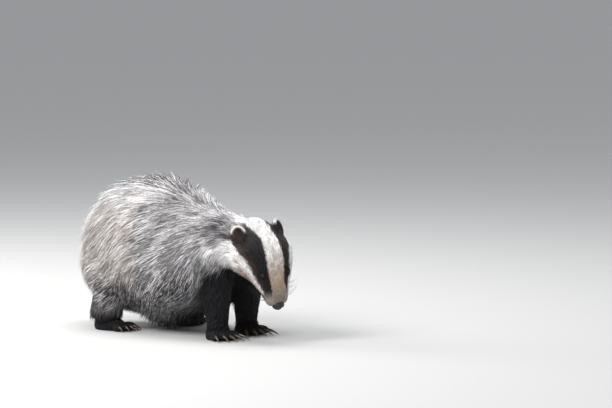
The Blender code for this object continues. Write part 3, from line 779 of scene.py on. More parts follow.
def above(value, edge, softness):
    return np.clip((value - edge) / softness + 0.5, 0.0, 1.0)


def stripe_edges(along, side):
    """The angles of the blaze's edge and of the stripe's lower edge, on the side that a place is on."""
    blaze = np.where(side > 0, table_at(along, BLAZE_LEFT), table_at(along, BLAZE_RIGHT))
    return blaze, np.where(side > 0, table_at(along, STRIPE_LOW_LEFT), table_at(along, STRIPE_LOW_RIGHT))


def head_colours(local, rough):
    """The face's markings at places given in the head's own axes."""
    along, side, out = local.T
    middle = table_at(along, [(row[0], (row[1] - row[2]) / 2) for row in HEAD])
    angle = np.degrees(np.arctan2(out - middle, np.abs(side) + 1e-6)) + rough * 3.0
    high, low = stripe_edges(along, side)
    blaze = above(angle, high, 4)
    stripe_end = share_between(along, 150, 138)
    stripe = above(angle, low, 4) * (1 - blaze)
    cheek = above(angle, table_at(along, CHEEK_LOW), 6) * (1 - above(angle, low, 4))
    lower = share_between(angle, 14, -6) * share_between(along, 50, 85)
    colour = mixed(THROAT, mixed(CHEEK, CHEEK_LOWER, lower), cheek)
    colour = mixed(colour, STRIPE, stripe)
    edge = np.exp(-(((angle - high) / 5.0) ** 2)) * share_between(along, 20, 60)
    lower_edge = np.exp(-(((angle - low - 4) / 6.0) ** 2)) * share_between(along, 5, 20)
    colour = mixed(colour, STRIPE_EDGE, (edge * 0.5 + lower_edge * 0.6) * stripe)
    colour = mixed(colour, WHITE, blaze)
    muzzle = share_between(along, 56, 112) * (angle > -10)
    tint = mixed(MUZZLE, MUZZLE_DARK, share_between(along + rough * 10, 104, 150))
    colour = mixed(colour, tint, muzzle * (blaze * 0.82 + (1 - blaze) * (1 - stripe_end)))
    lip = share_between(along, 128, 144) * share_between(angle, 46, 32)
    colour = mixed(colour, LIP, lip * 0.75)
    lids = np.linalg.norm(np.stack([along, np.abs(side), out], axis=1) - EYE_PLACE, axis=1)
    return mixed(colour, STRIPE, share_between(lids, 12, 8)), angle


def body_colours(spots, rough):
    """The body's pale hair by place, and how strongly and how often it is banded with black."""
    x, _, z = spots.T
    z = z + rough * 5
    mantle = share_between(x + rough * 16 - table_at(z, MANTLE_EDGE), -14, 18)
    high = share_between(z, 205, 262)
    low = share_between(z - 14 * share_between(x, 0, 60), 138, 78)
    # Painted shadow of the parting where the mantle's hair stands over the flank: more black banding just
    # ahead of the mantle's edge.
    edge = np.exp(-(((x - table_at(z, MANTLE_EDGE) - 6) / 7) ** 2)) * share_between(z, 90, 140)
    crest = share_between(z - table_at(x, TOP_LINE), -24, -6) * share_between(x, 30, -10)
    nape = share_between(x, 95, 135) * share_between(z, 180, 200)
    # Painted rim light: the stern is whitened and less banded, as light from behind and to the left would
    # make it.
    rim = share_between(x, -200, -238)
    colour = mixed(FLANK, BACK, np.maximum(high, rim * 0.8))
    front = mixed(MANTLE, SHOULDER, share_between(x, 10, 110))
    colour = mixed(colour, mixed(front, BACK, high * 0.3), mantle)
    colour = mixed(colour, LOW_FLANK, low * 0.8) * (1 - 0.15 * low * share_between(x, 0, 60))[:, None]
    colour = colour * (1 - 0.2 * nape)[:, None]
    band = 0.62 - 0.26 * high * (1 - mantle) + 0.08 * mantle + 0.5 * crest + 0.2 * nape
    band = band + (1.0 - band) * low
    # Fewer black bands under the painted rim light, more in the painted shadow along the mantle's edge.
    band = band * (1 - 0.35 * rim) + 0.3 * edge
    return colour, np.clip(band, 0, 1)


def neck_colours(body, local, angle, rough):
    """Carries the face's markings back on the neck: cheek, stripe, smudge behind the ear, blaze."""
    along, side, out = local.T
    wide = np.abs(side)
    _, low = stripe_edges(along, side)
    in_cheek = above(low, angle, 5) * above(angle, table_at(along, CHEEK_LOW), 6)
    cheek = in_cheek * share_between(out + rough * 9, -78, -56) * share_between(along + rough * 4, -10, 0)
    colour = mixed(body, CHEEK, cheek)
    edge = in_cheek * np.exp(-(((out + rough * 5 + 80) / 7) ** 2)) * share_between(along, -4, 4)
    edge = edge * share_between(along, 48, 24)
    colour = mixed(colour, SMUDGE, 0.75 * edge)
    stripe = above(angle, low, 5) * share_between(out + rough * 5, -30, -16)
    stripe = stripe * share_between(along + rough * 3, -6, 3)
    colour = mixed(colour, STRIPE, stripe)
    offset = np.stack([(along - 5) / 10, (wide - 62) / 19, (out + 43) / 16], axis=1)
    smudge = np.exp(-(offset**2).sum(axis=1)) * 2.6
    colour = mixed(colour, SMUDGE, np.clip(smudge, 0, 0.97))
    nape = share_between(wide + rough * 5, 24, 12) * share_between(out + rough * 12, -100, -70)
    nape = nape * share_between(along, 14, 2)
    return mixed(colour, WHITE, nape), np.maximum.reduce([cheek, stripe, np.clip(smudge, 0, 1), nape])


def ear_colours(local, rough):
    """White along the rim, brown in the cup, black behind; the left ear's cup is darkened with painted
    shade.
    """
    offset = np.stack([local[:, 0], np.abs(local[:, 1]), local[:, 2]], axis=1) - np.array(EAR_PLACE)
    outward = offset @ np.array([0, 0.88, -0.47])
    reach = np.hypot(offset[:, 0] / EAR_SIZE[0], outward / EAR_SIZE[1])
    facing = offset @ np.array([0, 0.47, 0.88])
    turned_out = np.where(local[:, 1] > 0, 0.3, -0.15)
    rim = above(reach + rough * 0.05, 0.66, 0.14) * above(outward * turned_out - offset[:, 0], 3, 5)
    rim = rim * above(facing, -4, 4)
    inner = above(facing, -1, 3)
    inner = inner * (0.15 + 0.85 * share_between(outward, 0, 8) * share_between(offset[:, 0], 8, -4))
    # Painted shade: the left ear's cup is drawn darker, as it lies in shade.
    inner = inner * np.where(local[:, 1] > 0, 0.45, 1.0)
    return mixed(mixed(np.broadcast_to(STRIPE, local.shape), EAR_INSIDE, inner), WHITE, rim)


def coat_colours(spots, kinds, rough):
    """The coat's colour at each place of the animal, and how strongly its hair is banded."""
    x, _, z = spots.T
    local = head_local(spots)
    face, angle = head_colours(local, rough)
    body, band = body_colours(spots, rough)
    grey = above(z + rough * 9, table_at(x, GREY_LOW), 22)
    body = mixed(LIMB, body, grey)
    neck, marked = neck_colours(body, local, angle, rough)
    near_head = share_between(x, 108, 132)
    body = mixed(body, neck, near_head)
    # Behind the ear's base and the end of the blaze the coat of the neck comes forward on the head
    along, side, out = local.T
    by_ear = share_between(out, -2, -18) * share_between(np.abs(side), 17, 28)
    behind = np.maximum(by_ear, share_between(out, -12, -22)) * share_between(along, 8, -4)
    head = kinds["head"] * (1 - behind)
    colour = mixed(body, face, head)
    band = band * grey * (1 - marked * near_head) * (1 - head)

    hind = share_between(x, -60, -90)
    fore_reach, hind_reach = share_between(z, 118, 96), share_between(z, 52, 24)
    reach = fore_reach + (hind_reach - fore_reach) * hind
    dark = np.clip(np.clip(kinds["leg"] * 1.4, 0, 1) * reach + kinds["paw"], 0, 1)
    thigh = hind * kinds["leg"] * (1 - dark)
    colour = mixed(colour, LOW_FLANK * 0.75, thigh * 0.8)
    band = np.maximum(band, thigh)
    colour = mixed(colour, LIMB, dark)
    band = band * (1 - dark)
    tail = np.clip(kinds["tail"] * 1.5, 0, 1)
    colour = mixed(colour, BACK, tail * 0.7)
    band = np.maximum(band, 0.45 * tail)
    ear = np.clip(kinds["ear"] * 1.6, 0, 1)
    return mixed(colour, ear_colours(local, rough), ear), np.clip(band * (1 - ear), 0, 1)


def kinds_of(mesh):
    """How much each vertex belongs to each kind of part."""
    names = ("body", "head", "ear", "tail", "leg", "paw")
    return {name: fetched(mesh.attributes["kind_" + name].data, "value") for name in names}


def paint_skin(skin):
    """Gives the skin the coat's markings, darkened with painted shade where it lies deep under the hair."""
    spots, _, _ = mesh_arrays(skin)
    kinds = kinds_of(skin.data)
    rough = np.random.default_rng(SEED).uniform(-1, 1, len(spots))
    colour, _ = coat_colours(spots, kinds, rough)
    # Painted shade: the skin under the long hair of body and tail is darkened.
    under_hair_shade = np.clip(kinds["body"] + kinds["tail"], 0, 1)
    put_attribute(skin.data, "fur_colour", colour * (1 - 0.6 * under_hair_shade)[:, None])


# Length of the hair and its rise above the skin: by x on the body, by the distance along the head,
# and by height on the legs
BODY_HAIR = ((-250, 64), (-60, 62), (60, 58), (120, 50), (160, 42), (196, 32))
BODY_RISE = ((-250, 35), (-215, 33), (-170, 24), (-110, 17), (60, 17), (120, 15), (160, 13), (196, 9))
HEAD_HAIR = ((-20, 26), (8, 19), (40, 11), (80, 7), (110, 5), (140, 3.4), (160, 2.4))
HEAD_RISE = ((-20, 4.5), (8, 3.0), (40, 2.2), (80, 1.5), (120, 1.0), (160, 0.7))
LEG_HAIR = ((20, 9), (40, 16), (70, 28), (110, 34), (150, 38))


def ruff_share(local):
    """How much a place of the head belongs to the long hair below and behind the cheek."""
    along, side, out = local.T
    aside, low = share_between(np.abs(side), 24, 40), share_between(out, 4, -20)
    return aside * low * share_between(along, 108, 78)


def hair_sizes(spots, kinds):
    """Length, rise above the skin, width and number to the square centimetre of the tufts."""
    x, _, z = spots.T
    local = head_local(spots)
    along = local[:, 0]
    cheek = ruff_share(local)
    nape = share_between(x, 110, 145) * share_between(z, 195, 225)
    withers = share_between(x, 10, 50) * share_between(z, 205, 240)
    crest = share_between(z, 240, 268) * share_between(x, 10, -20) * share_between(x, -150, -110)
    stern = share_between(x, -105, -160) * share_between(z, 185, 225)
    looks = {
        "body": (
            table_at(x, BODY_HAIR) + 10 * nape,
            table_at(x, BODY_RISE) + 5 * withers + 3 * nape - 5 * crest + 8 * stern,
            1.75,
            18.5,
        ),
        "head": (
            table_at(along, HEAD_HAIR) + 22 * cheek,
            table_at(along, HEAD_RISE) + 11 * cheek,
            1.3,
            29.0,
        ),
        "ear": (4.2, 0.9, 0.9, 40.0),
        "tail": (52.0, 20.0, 2.3, 14.0),
        "leg": (table_at(z, LEG_HAIR) * (1 + 0.5 * share_between(x, -60, -90)), 4.6, 1.8, 13.0),
        "paw": (5.0, 1.0, 1.3, 20.0),
    }
    total = sum(kinds.values())
    sizes = [
        sum(kinds[name] * look[column] for name, look in looks.items()) / total for column in range(4)
    ]
    under_belly = share_between(z, 75, 50) * kinds["body"]
    sizes[0] = sizes[0] * (1 - 0.35 * under_belly)
    small = np.clip((12 - sizes[0]) / 8, 0, 1)
    sizes[2] = sizes[2] * (1 - 0.35 * small)
    return sizes


def lie_of(spots, kinds):
    """The way the hair lies at each place, before it is laid flat along the skin."""
    x = spots[:, 0]
    behind = share_between(x, -130, -230)
    body = np.stack([-1.0 + 0.8 * behind, np.zeros(len(x)), -0.95 - 0.5 * behind], axis=1)
    local = head_local(spots)
    outward = np.sign(local[:, 1]) * share_between(np.abs(local[:, 1]), 5, 60)
    head = -HEAD_AXES[:, 0] + HEAD_AXES[:, 1] * (0.35 * outward)[:, None]
    ruff = ruff_share(local)[:, None]
    head = head + HEAD_AXES[:, 0] * 0.5 * ruff
    head = head - HEAD_AXES[:, 2] * (share_between(local[:, 0], 90, 10)[:, None] * 0.5 + 0.6 * ruff)
    ear_base = np.array([16, 38, -4])
    side = np.sign(local[:, 1])
    ear_local = np.stack([local[:, 0], np.abs(local[:, 1]), local[:, 2]], axis=1) - ear_base
    ear_local[:, 1] *= side
    ear = ear_local @ HEAD_AXES.T
    ear /= np.linalg.norm(ear, axis=1)[:, None] + 1e-6
    leg = np.array([-0.2, 0.0, -1.0])
    paw = np.array([1.0, 0.0, -0.35])
    tail = np.array([-0.25, 0.1, -1.0])
    lie = body * kinds["body"][:, None] + head * kinds["head"][:, None]
    lie += ear * 1.5 * kinds["ear"][:, None]
    lie += leg * kinds["leg"][:, None] + paw * kinds["paw"][:, None] + tail * kinds["tail"][:, None]
    return lie / (np.linalg.norm(lie, axis=1)[:, None] + 1e-6)


def root_places(skin, chance):
    """Spreads roots over the skin by the number wanted to the square centimetre."""
    mesh = skin.data
    mesh.calc_loop_triangles()
    corners = fetched(mesh.loop_triangles, "vertices", 3, np.int64)
    loops = fetched(mesh.loop_triangles, "loops", 3, np.int64)
    spots, normals, _ = mesh_arrays(skin)
    kinds = kinds_of(mesh)
    length, rise, width, density = hair_sizes(spots, kinds)
    a, b, c = (spots[corners[:, i]] for i in range(3))
    square_centimetres = np.linalg.norm(np.cross(b - a, c - a), axis=1) / 200
    wanted = np.cumsum(square_centimetres * density[corners].mean(axis=1))
    total = int(wanted[-1])
    marks = np.arange(total) + chance.uniform(0, 1, total)
    chosen = np.minimum(np.searchsorted(wanted, marks), len(corners) - 1)
    u, v = chance.uniform(0, 1, (2, total))
    fold = u + v > 1
    u, v = np.where(fold, 1 - u, u), np.where(fold, 1 - v, v)
    weights = np.stack([1 - u - v, u, v], axis=1)

    def at_roots(values, numbers=corners):
        picked = values[numbers[chosen]]
        return (picked * (weights if values.ndim == 1 else weights[..., None])).sum(axis=1)

    uv = fetched(mesh.uv_layers.active.data, "uv", 2)
    roots = {"spot": at_roots(spots), "normal": at_roots(normals), "uv": at_roots(uv, loops)}
    roots["kinds"] = {name: at_roots(values) for name, values in kinds.items()}
    roots["length"], roots["rise"], roots["width"] = at_roots(length), at_roots(rise), at_roots(width)
    return roots


def bare(spots):
    """True where no hair grows: on the eyes, the nose and the soles."""
    found = spots[:, 2] < 1.5
    for _, sign in SIDES:
        offset = spots - np.array(eye_middle(sign))
        found |= np.linalg.norm(offset, axis=1) < EYE_RADIUS + 1.1
    nose = np.array(head_place(NOSE_PLACE[0], 0, NOSE_PLACE[1]))
    found |= np.linalg.norm((spots - nose) @ HEAD_AXES / np.array(NOSE_SIZE), axis=1) < 1.05
    return found


def chosen_roots(roots, keep):
    return {
        name: {kind: values[keep] for kind, values in data.items()} if name == "kinds" else data[keep]
        for name, data in roots.items()
    }


def laid_flat(way, normal):
    way = way - (way * normal).sum(axis=1)[:, None] * normal
    return way / (np.linalg.norm(way, axis=1)[:, None] + 1e-9)


def turned(way, normal, angle):
    """The way turned about the normal by an angle of its own."""
    return way * np.cos(angle)[:, None] + np.cross(normal, way) * np.sin(angle)[:, None]


def hair_paths(roots, tree, stations, chance):
    """Lays every tuft along the skin: middles, ways and normals at its stations."""
    spot = roots["spot"].copy()
    normal = roots["normal"] / np.linalg.norm(roots["normal"], axis=1)[:, None]
    lie = lie_of(spot, roots["kinds"])
    x, y, z = spot.T
    slow = 7 * np.sin(x / 31 + z / 47) + 5 * np.sin(z / 23 - x / 61 + y / 37)
    sway = np.radians(chance.normal(0, 5.5, len(spot)) + slow)
    way = turned(laid_flat(lie, normal), normal, sway)
    length = roots["length"]
    # The brush of the tail runs on past the end of its flesh
    loose = 0.5 * roots["kinds"]["tail"] * share_between(z, 130, 90)
    middles, ways, normals = [], [], []
    last = 0.0
    for t in stations:
        if t > 0:
            free = spot + way * (length * (t - last))[:, None]
            found = [tree.find_nearest(place) for place in free.tolist()]
            spot = np.array([f[0] for f in found])
            spot += (free - spot) * loose[:, None]
            face = np.array([f[1] for f in found])
            normal = normal * 0.35 + face * 0.65
            normal /= np.linalg.norm(normal, axis=1)[:, None]
            way = turned(laid_flat(lie, normal), normal, sway * (1 + t))
        last = t
        height = -1.0 + (roots["rise"] + 1.0) * t**0.62 + roots["stray"] * t**1.8
        middle = spot + normal * height[:, None]
        middle[:, 2] = np.maximum(middle[:, 2] - roots["hang"] * t**2, HAIR_GAP)
        middles.append(middle)
        ways.append(way)
        normals.append(normal)
    return np.array(middles), np.array(ways), np.array(normals)


def gather(middles, roots, stations, chance, share):
    """Draws the tips of neighbouring tufts together in wisps, most where they stand out."""
    spots = roots["spot"]
    leaders = chance.permutation(len(spots))[: max(1, len(spots) // WISP)]
    tree = point_tree(spots[leaders])
    leader = leaders[np.array([tree.find(place)[1] for place in spots.tolist()])]
    pull = chance.uniform(0.3, 1.0, len(spots)) * share * (1 + 0.06 * roots["stray"])
    for row, t in enumerate(stations):
        middles[row] += (middles[row][leader] - middles[row]) * (pull * t**1.4)[:, None]
    return leader


def tuft_points(middles, ways, normals, roots, shape):
    """The points of all tufts: three at every station but the last, and one at the tip."""
    points = np.empty((len(roots["spot"]), len(shape) * 3 + 1, 3))
    for row, share in enumerate(shape):
        middle, normal = middles[row], normals[row]
        twist = roots["twist"]
        across = np.cross(normal, ways[row]) * np.cos(twist)[:, None] + normal * np.sin(twist)[:, None]
        half = roots["width"] * share / 2
        thick = roots["width"] * 0.3 * share
        points[:, row * 3] = middle + across * half[:, None]
        points[:, row * 3 + 1] = middle + normal * thick[:, None]
        points[:, row * 3 + 2] = middle - across * half[:, None]
    points[:, -1] = middles[-1]
    return points


def tuft_faces(rings):
    """The faces of one tuft by the numbers of its points: sides, tip and root."""
    faces = []
    last = (rings - 1) * 3
    for low in range(0, last, 3):
        for i in range(3):
            j = (i + 1) % 3
            faces.append((low + i, low + j, low + 3 + j, low + 3 + i))
    faces += [(last + i, last + (i + 1) % 3, last + 3) for i in range(3)]
    return faces + [(2, 1, 0)]


def repeated_mesh(name, points, faces):
    """A mesh of pieces with the same faces, each with a row of points; also its corners' points."""
    count, per, _ = points.shape
    corners = (np.concatenate(faces)[None] + (np.arange(count) * per)[:, None]).ravel()
    lengths = np.tile([len(face) for face in faces], count)
    starts = np.concatenate([[0], np.cumsum(lengths)[:-1]])
    mesh = bpy.data.meshes.new(name)
    mesh.vertices.add(count * per)
    mesh.vertices.foreach_set("co", coordinates(points.reshape(-1, 3)))
    mesh.loops.add(len(corners))
    mesh.loops.foreach_set("vertex_index", corners.astype(np.int32))
    mesh.polygons.add(len(starts))
    mesh.polygons.foreach_set("loop_start", starts.astype(np.int32))
    mesh.polygons.foreach_set("use_smooth", np.ones(len(starts), dtype=bool))
    mesh.update(calc_edges=True)
    mesh.validate()
    return mesh, corners


def tuft_colours(roots, seen, leader_tone):
    """The colour of every tuft, how strongly it is banded, and the share of its length shown."""
    rough, under, stray = roots["rough"], roots["under"], roots["stray"]
    colour, band = coat_colours(seen, roots["kinds"], rough)
    tone = 1.0 + 0.3 * leader_tone + 0.22 * rough
    colour = np.clip(colour * tone[:, None], 0, 1)
    fate = roots["fate"] * 0.5 + (0.5 + 0.5 * leader_tone) * 0.5
    band = np.maximum(band, 0.05 * stray * (band > 0.1))
    dark_share = 0.38 + 0.36 * band
    band = np.where(fate < dark_share, band, 0.08 * band) * (1 - 0.8 * under * (1 - band))
    # More than half of the hairs that stand out along the line of the back are black to the tip
    x, y, z = seen.T
    on_line = (z - table_at(x, TOP_LINE) > -19) & (np.abs(y - spine_y(x)) < 44 - 10 * rough)
    black_tip = on_line & (stray > 1.0) & (fate < 0.58 * share_between(x, -240, -190))
    band = np.where(black_tip, 1.0, band)
    colour = colour * (1 - 0.72 * under * share_between(band, 0.75, 1.0))[:, None]
    # Underfur and black-tipped hair stop short of the silver tip
    return colour, band, 1 - 0.17 * np.maximum(under, black_tip)


def tuft_mesh(name, paths, roots, stations, shape, leader_tone):
    """Builds three-sided tapering tufts, with their map, colours and root-to-tip values."""
    points = tuft_points(*paths, roots, shape)
    mesh, corners = repeated_mesh(name, points, tuft_faces(len(shape)))
    colour, band, reach = tuft_colours(roots, paths[0][len(stations) // 2], leader_tone)
    along = np.append(np.repeat(stations[:-1], 3), 1.0)
    shift = 0.05 * roots["rough"] + 0.09 * leader_tone
    shown = (along + shift[:, None] * along * (1 - along) * 4) * reach[:, None]
    put_attribute(mesh, "fur_colour", np.repeat(colour, len(along), axis=0))
    put_attribute(mesh, "along", shown.ravel())
    put_attribute(mesh, "band", np.repeat(band, len(along)))

    # A patch for each tuft, at its root's place on the skin's unwrap
    across = np.append(np.tile((0.0, 0.5, 1.0), len(shape)), 0.5)
    patch = np.stack([(across - 0.5) * PATCH_WIDTH, (along - 0.5) * PATCH_LENGTH], axis=1)
    uv = np.clip(roots["uv"], 0.002, 0.998)[:, None] + patch
    layer = mesh.uv_layers.new(name="OFBake")
    layer.data.foreach_set("uv", uv.reshape(-1, 2)[corners].astype(np.float32).ravel())
    return linked(name, mesh)


# A tuft of long and of short hair: its stations, its width at each but the last, and how far it
# clings to its wisp
LONG_TUFT = (np.array([0.0, 0.3, 0.6, 0.84, 1.0]), (0.6, 1.0, 0.9, 0.5), 0.32)
SHORT_TUFT = (np.array([0.0, 0.35, 0.72, 1.0]), (0.7, 1.0, 0.7), 0.2)
# Length from which hair counts as long, and the x where the pieces of the long coat are parted
LONG_FROM = 19
COAT_CUTS = (-400, -140, -50, 60, 400)
# Tufts to a wisp
WISP = 9
# A tuft's patch on the map
PATCH_WIDTH = 0.0016
PATCH_LENGTH = 0.003
# Share of the body's tufts that are softer underfur
UNDER_SHARE = 0.4


def stray_of(spot, chance):
    """How far the tip of each tuft stands out beyond its neighbours', most along the crest."""
    x, _, z = spot.T
    crest = share_between(z, 232, 272) * share_between(x, 50, -5)
    rump = share_between(x, -125, -180) * share_between(z, 165, 215)
    return 16 * np.maximum(crest, rump * 0.8) * chance.uniform(0, 1, len(x)) ** 2.0


def dress_roots(roots, chance):
    """Gives every tuft its own length, rise, width, layer, tone and hang."""
    spot, kinds = roots["spot"], roots["kinds"]
    x, _, z = spot.T
    count = len(x)
    body = np.clip(kinds["body"] + kinds["tail"], 0, 1)
    under = (chance.uniform(0, 1, count) < UNDER_SHARE) * body
    guard = (1 - under) * body
    roots["under"] = under
    roots["length"] = roots["length"] * chance.uniform(0.8, 1.15, count) * (1 - 0.18 * under + 0.06 * guard)
    roots["rise"] = roots["rise"] * chance.uniform(0.66, 1.06, count) * (1 - 0.28 * under + 0.06 * guard)
    roots["width"] = roots["width"] * chance.uniform(0.75, 1.2, count) * (1 + 0.3 * under - 0.3 * guard)
    ahead = x - table_at(z, MANTLE_EDGE)
    over = np.exp(-(((ahead - 14) / 13) ** 2)) - 0.7 * np.exp(-(((ahead + 16) / 13) ** 2))
    roots["rise"] = roots["rise"] * (1 + 0.32 * over * body * share_between(z, 100, 150))
    roots["rough"] = chance.uniform(-1, 1, count)
    roots["fate"] = chance.uniform(0, 1, count)
    roots["twist"] = np.radians(chance.normal(0, 16, count))
    roots["stray"] = stray_of(spot, chance) * guard
    roots["length"] = roots["length"] * (1 - 0.022 * roots["stray"])
    skirt = share_between(z, 92, 56) * body * share_between(x, 100, 60)
    fringe = share_between(z, 84, 60) * body * share_between(x, -55, -30) * share_between(x, 55, 30)
    thigh = kinds["leg"] * share_between(x, -60, -90) * share_between(z, 110, 80) * share_between(z, 36, 60)
    ruff = ruff_share(head_local(spot)) * kinds["head"]
    chest = body * share_between(x, 92, 106) * share_between(z, 120, 96)
    loose = chance.uniform(0.3, 1, count)
    roots["hang"] = 12 * skirt + 30 * fringe * loose + 8 * thigh + 12 * ruff + 8 * chest
    roots["rise"] = roots["rise"] * (1 - 0.7 * kinds["tail"] * share_between(z, 110, 75))
    roots["rise"] = roots["rise"] + (8 + 8 * share_between(x, -140, -165)) * thigh


def coat_groups(roots):
    """The coat's pieces: name, which roots they take, whether their hair is long, and slot."""
    x, y, _ = roots["spot"].T
    kinds = roots["kinds"]
    limb = np.maximum(kinds["leg"], kinds["paw"]) > 0.5
    tail = kinds["tail"] > 0.5
    trunk = ~limb & ~tail
    long_hair = roots["length"] > LONG_FROM
    left = y > spine_y(x)
    groups = []
    for word, side in (("left", left), ("right", ~left)):
        for label, low, high in zip(("rump", "flank", "mantle", "neck"), COAT_CUTS, COAT_CUTS[1:]):
            keep = trunk & long_hair & side & (x >= low) & (x < high)
            groups.append((f"coat_{label}_{word}", keep, True, "grey_coat"))
    groups.append(("coat_tail", tail, True, "grey_coat"))
    groups.append(("coat_head", trunk & ~long_hair, False, "white_fur"))
    groups.append(("coat_legs", limb, False, "dark_fur"))
    return groups


def make_coat(skin):
    """All tufts of the animal, in pieces by where they grow."""
    chance = np.random.default_rng(SEED)
    roots = root_places(skin, chance)
    roots = chosen_roots(roots, ~bare(roots["spot"]))
    dress_roots(roots, chance)
    tree = surface_tree(skin)
    made = []
    for name, keep, is_long, slot in coat_groups(roots):
        own = chosen_roots(roots, keep)
        stations, shape, cling = LONG_TUFT if is_long else SHORT_TUFT
        paths = hair_paths(own, tree, stations, chance)
        leader = gather(paths[0], own, stations, chance, cling)
        tone = chance.uniform(-1, 1, len(leader))[leader]
        piece = tuft_mesh(name, paths, own, stations, shape, tone)
        made.append(piece)
    return made


def set_inputs(tree, node, inputs):
    """Gives a node's inputs their values, or links where a socket is given."""
    for name, value in inputs.items():
        if isinstance(value, bpy.types.NodeSocket):
            tree.links.new(value, node.inputs[name])
        else:
            node.inputs[name].default_value = value


def add_node(tree, kind, inputs=None, stops=(), **settings):
    """Adds a node with its settings, the values and links of its inputs, and a ramp's stops."""
    node = tree.nodes.new("ShaderNode" + kind)
    for name, value in settings.items():
        setattr(node, name, value)
    set_inputs(tree, node, inputs or {})
    elements = node.color_ramp.elements if stops else ()
    while len(elements) < len(stops):
        elements.new(0.5)
    for element, (place, colour) in zip(elements, stops):
        element.position = place
        element.color = rgba(colour)
    return node


def new_material(name, values):
    """A Principled material whose own sockets hold the values, its tree and its shader."""
    material = bpy.data.materials.new(name)
    material.use_nodes = True
    tree = material.node_tree
    shader = tree.nodes["Principled BSDF"]
    set_inputs(tree, shader, values)
    return material, tree, shader


def rgba(colour):
    return (*[float(c) for c in colour], 1.0)


def coat_material():
    """Guard hair: dull, slightly glossy keratin, pale at the root, black-banded, silver at the tip; painted
    shade between the hairs and duller underfur darken each tuft toward its root.
    """
    values = {"Roughness": 0.48, "Specular IOR Level": 0.32, "IOR": 1.55}
    material, tree, shader = new_material("guard_hair", values)
    fur = add_node(tree, "Attribute", attribute_name="fur_colour").outputs["Color"]
    along = add_node(tree, "Attribute", attribute_name="along").outputs["Fac"]
    band = add_node(tree, "Attribute", attribute_name="band").outputs["Fac"]
    one, none = (1, 1, 1), (0, 0, 0)
    shares = []
    for stops in (((0.3, none), (0.46, one), (0.8, one), (0.9, none)), ((0.82, none), (0.92, one))):
        place = add_node(tree, "ValToRGB", {"Fac": along}, stops).outputs["Color"]
        shares.append(add_node(tree, "Math", {0: place, 1: band}, operation="MULTIPLY").outputs[0])
    # Painted shade between the hairs, with duller underfur: each tuft is darkened toward its root.
    root = add_node(tree, "ValToRGB", {"Fac": along}, ((0.0, (0.42, 0.38, 0.36)), (0.5, one)))
    inputs = {"Factor": 1.0, "A": fur, "B": root.outputs["Color"]}
    root_shaded = add_node(tree, "Mix", inputs, data_type="RGBA", blend_type="MULTIPLY").outputs["Result"]
    inputs = {"Factor": shares[0], "A": root_shaded, "B": rgba(BAND_COLOUR)}
    banded = add_node(tree, "Mix", inputs, data_type="RGBA").outputs["Result"]
    inputs = {"Factor": 0.45, "A": fur, "B": rgba(TIP_COLOUR)}
    silver = add_node(tree, "Mix", inputs, data_type="RGBA").outputs["Result"]
    inputs = {"Factor": shares[1], "A": banded, "B": silver}
    tipped = add_node(tree, "Mix", inputs, data_type="RGBA").outputs["Result"]
    set_inputs(tree, shader, {"Base Color": tipped})
    return material


def skin_material():
    """Short dense underfur: soft and matt, with a nap of about a millimetre."""
    material, tree, shader = new_material("underfur", {"Roughness": 0.85, "Specular IOR Level": 0.2})
    fur = add_node(tree, "Attribute", attribute_name="fur_colour").outputs["Color"]
    place = add_node(tree, "TexCoord").outputs["Object"]
    inputs = {"Vector": place, "Scale": 900.0, "Detail": 3.0, "Roughness": 0.6}
    nap = add_node(tree, "TexNoise", inputs).outputs["Fac"]
    shade = add_node(tree, "ValToRGB", {"Fac": nap}, ((0.3, (0.72,) * 3), (0.7, (1.0,) * 3)))
    inputs = {"Factor": 1.0, "A": fur, "B": shade.outputs["Color"]}
    shaded = add_node(tree, "Mix", inputs, data_type="RGBA", blend_type="MULTIPLY").outputs["Result"]
    bump = add_node(tree, "Bump", {"Strength": 0.5, "Distance": 0.0006, "Height": nap})
    set_inputs(tree, shader, {"Base Color": shaded, "Normal": bump.outputs["Normal"]})
    return material


def eye_material():
    """A wet dark brown eye: fine streaks of deep brown and near black under a clear cornea."""
    values = {"Roughness": 0.12, "IOR": 1.34, "Coat Weight": 0.2, "Coat Roughness": 0.03}
    material, tree, shader = new_material("wet_eye", values)
    place = add_node(tree, "TexCoord").outputs["Object"]
    streaks = add_node(tree, "TexNoise", {"Vector": place, "Scale": 900.0, "Detail": 2.0}).outputs["Fac"]
    browns = ((0.3, linear("#070506")), (0.8, linear("#1E120C")))
    iris = add_node(tree, "ValToRGB", {"Fac": streaks}, browns)
    set_inputs(tree, shader, {"Base Color": iris.outputs["Color"]})
    return material


def nose_material():
    """Bare nose leather: black-brown, pebbled at about 0.8 mm, moist."""
    values = {"Roughness": 0.45, "Coat Weight": 0.2, "Coat Roughness": 0.25}
    material, tree, shader = new_material("nose_leather", values)
    place = add_node(tree, "TexCoord").outputs["Object"]
    inputs = {"Vector": place, "Scale": 1250.0}
    pebbles = add_node(tree, "TexVoronoi", inputs, feature="DISTANCE_TO_EDGE").outputs["Distance"]
    blacks = ((0.0, linear("#080607")), (0.3, linear("#1D1819")))
    shade = add_node(tree, "ValToRGB", {"Fac": pebbles}, blacks)
    bump = add_node(tree, "Bump", {"Strength": 0.6, "Distance": 0.0004, "Height": pebbles})
    set_inputs(tree, shader, {"Base Color": shade.outputs["Color"], "Normal": bump.outputs["Normal"]})
    return material


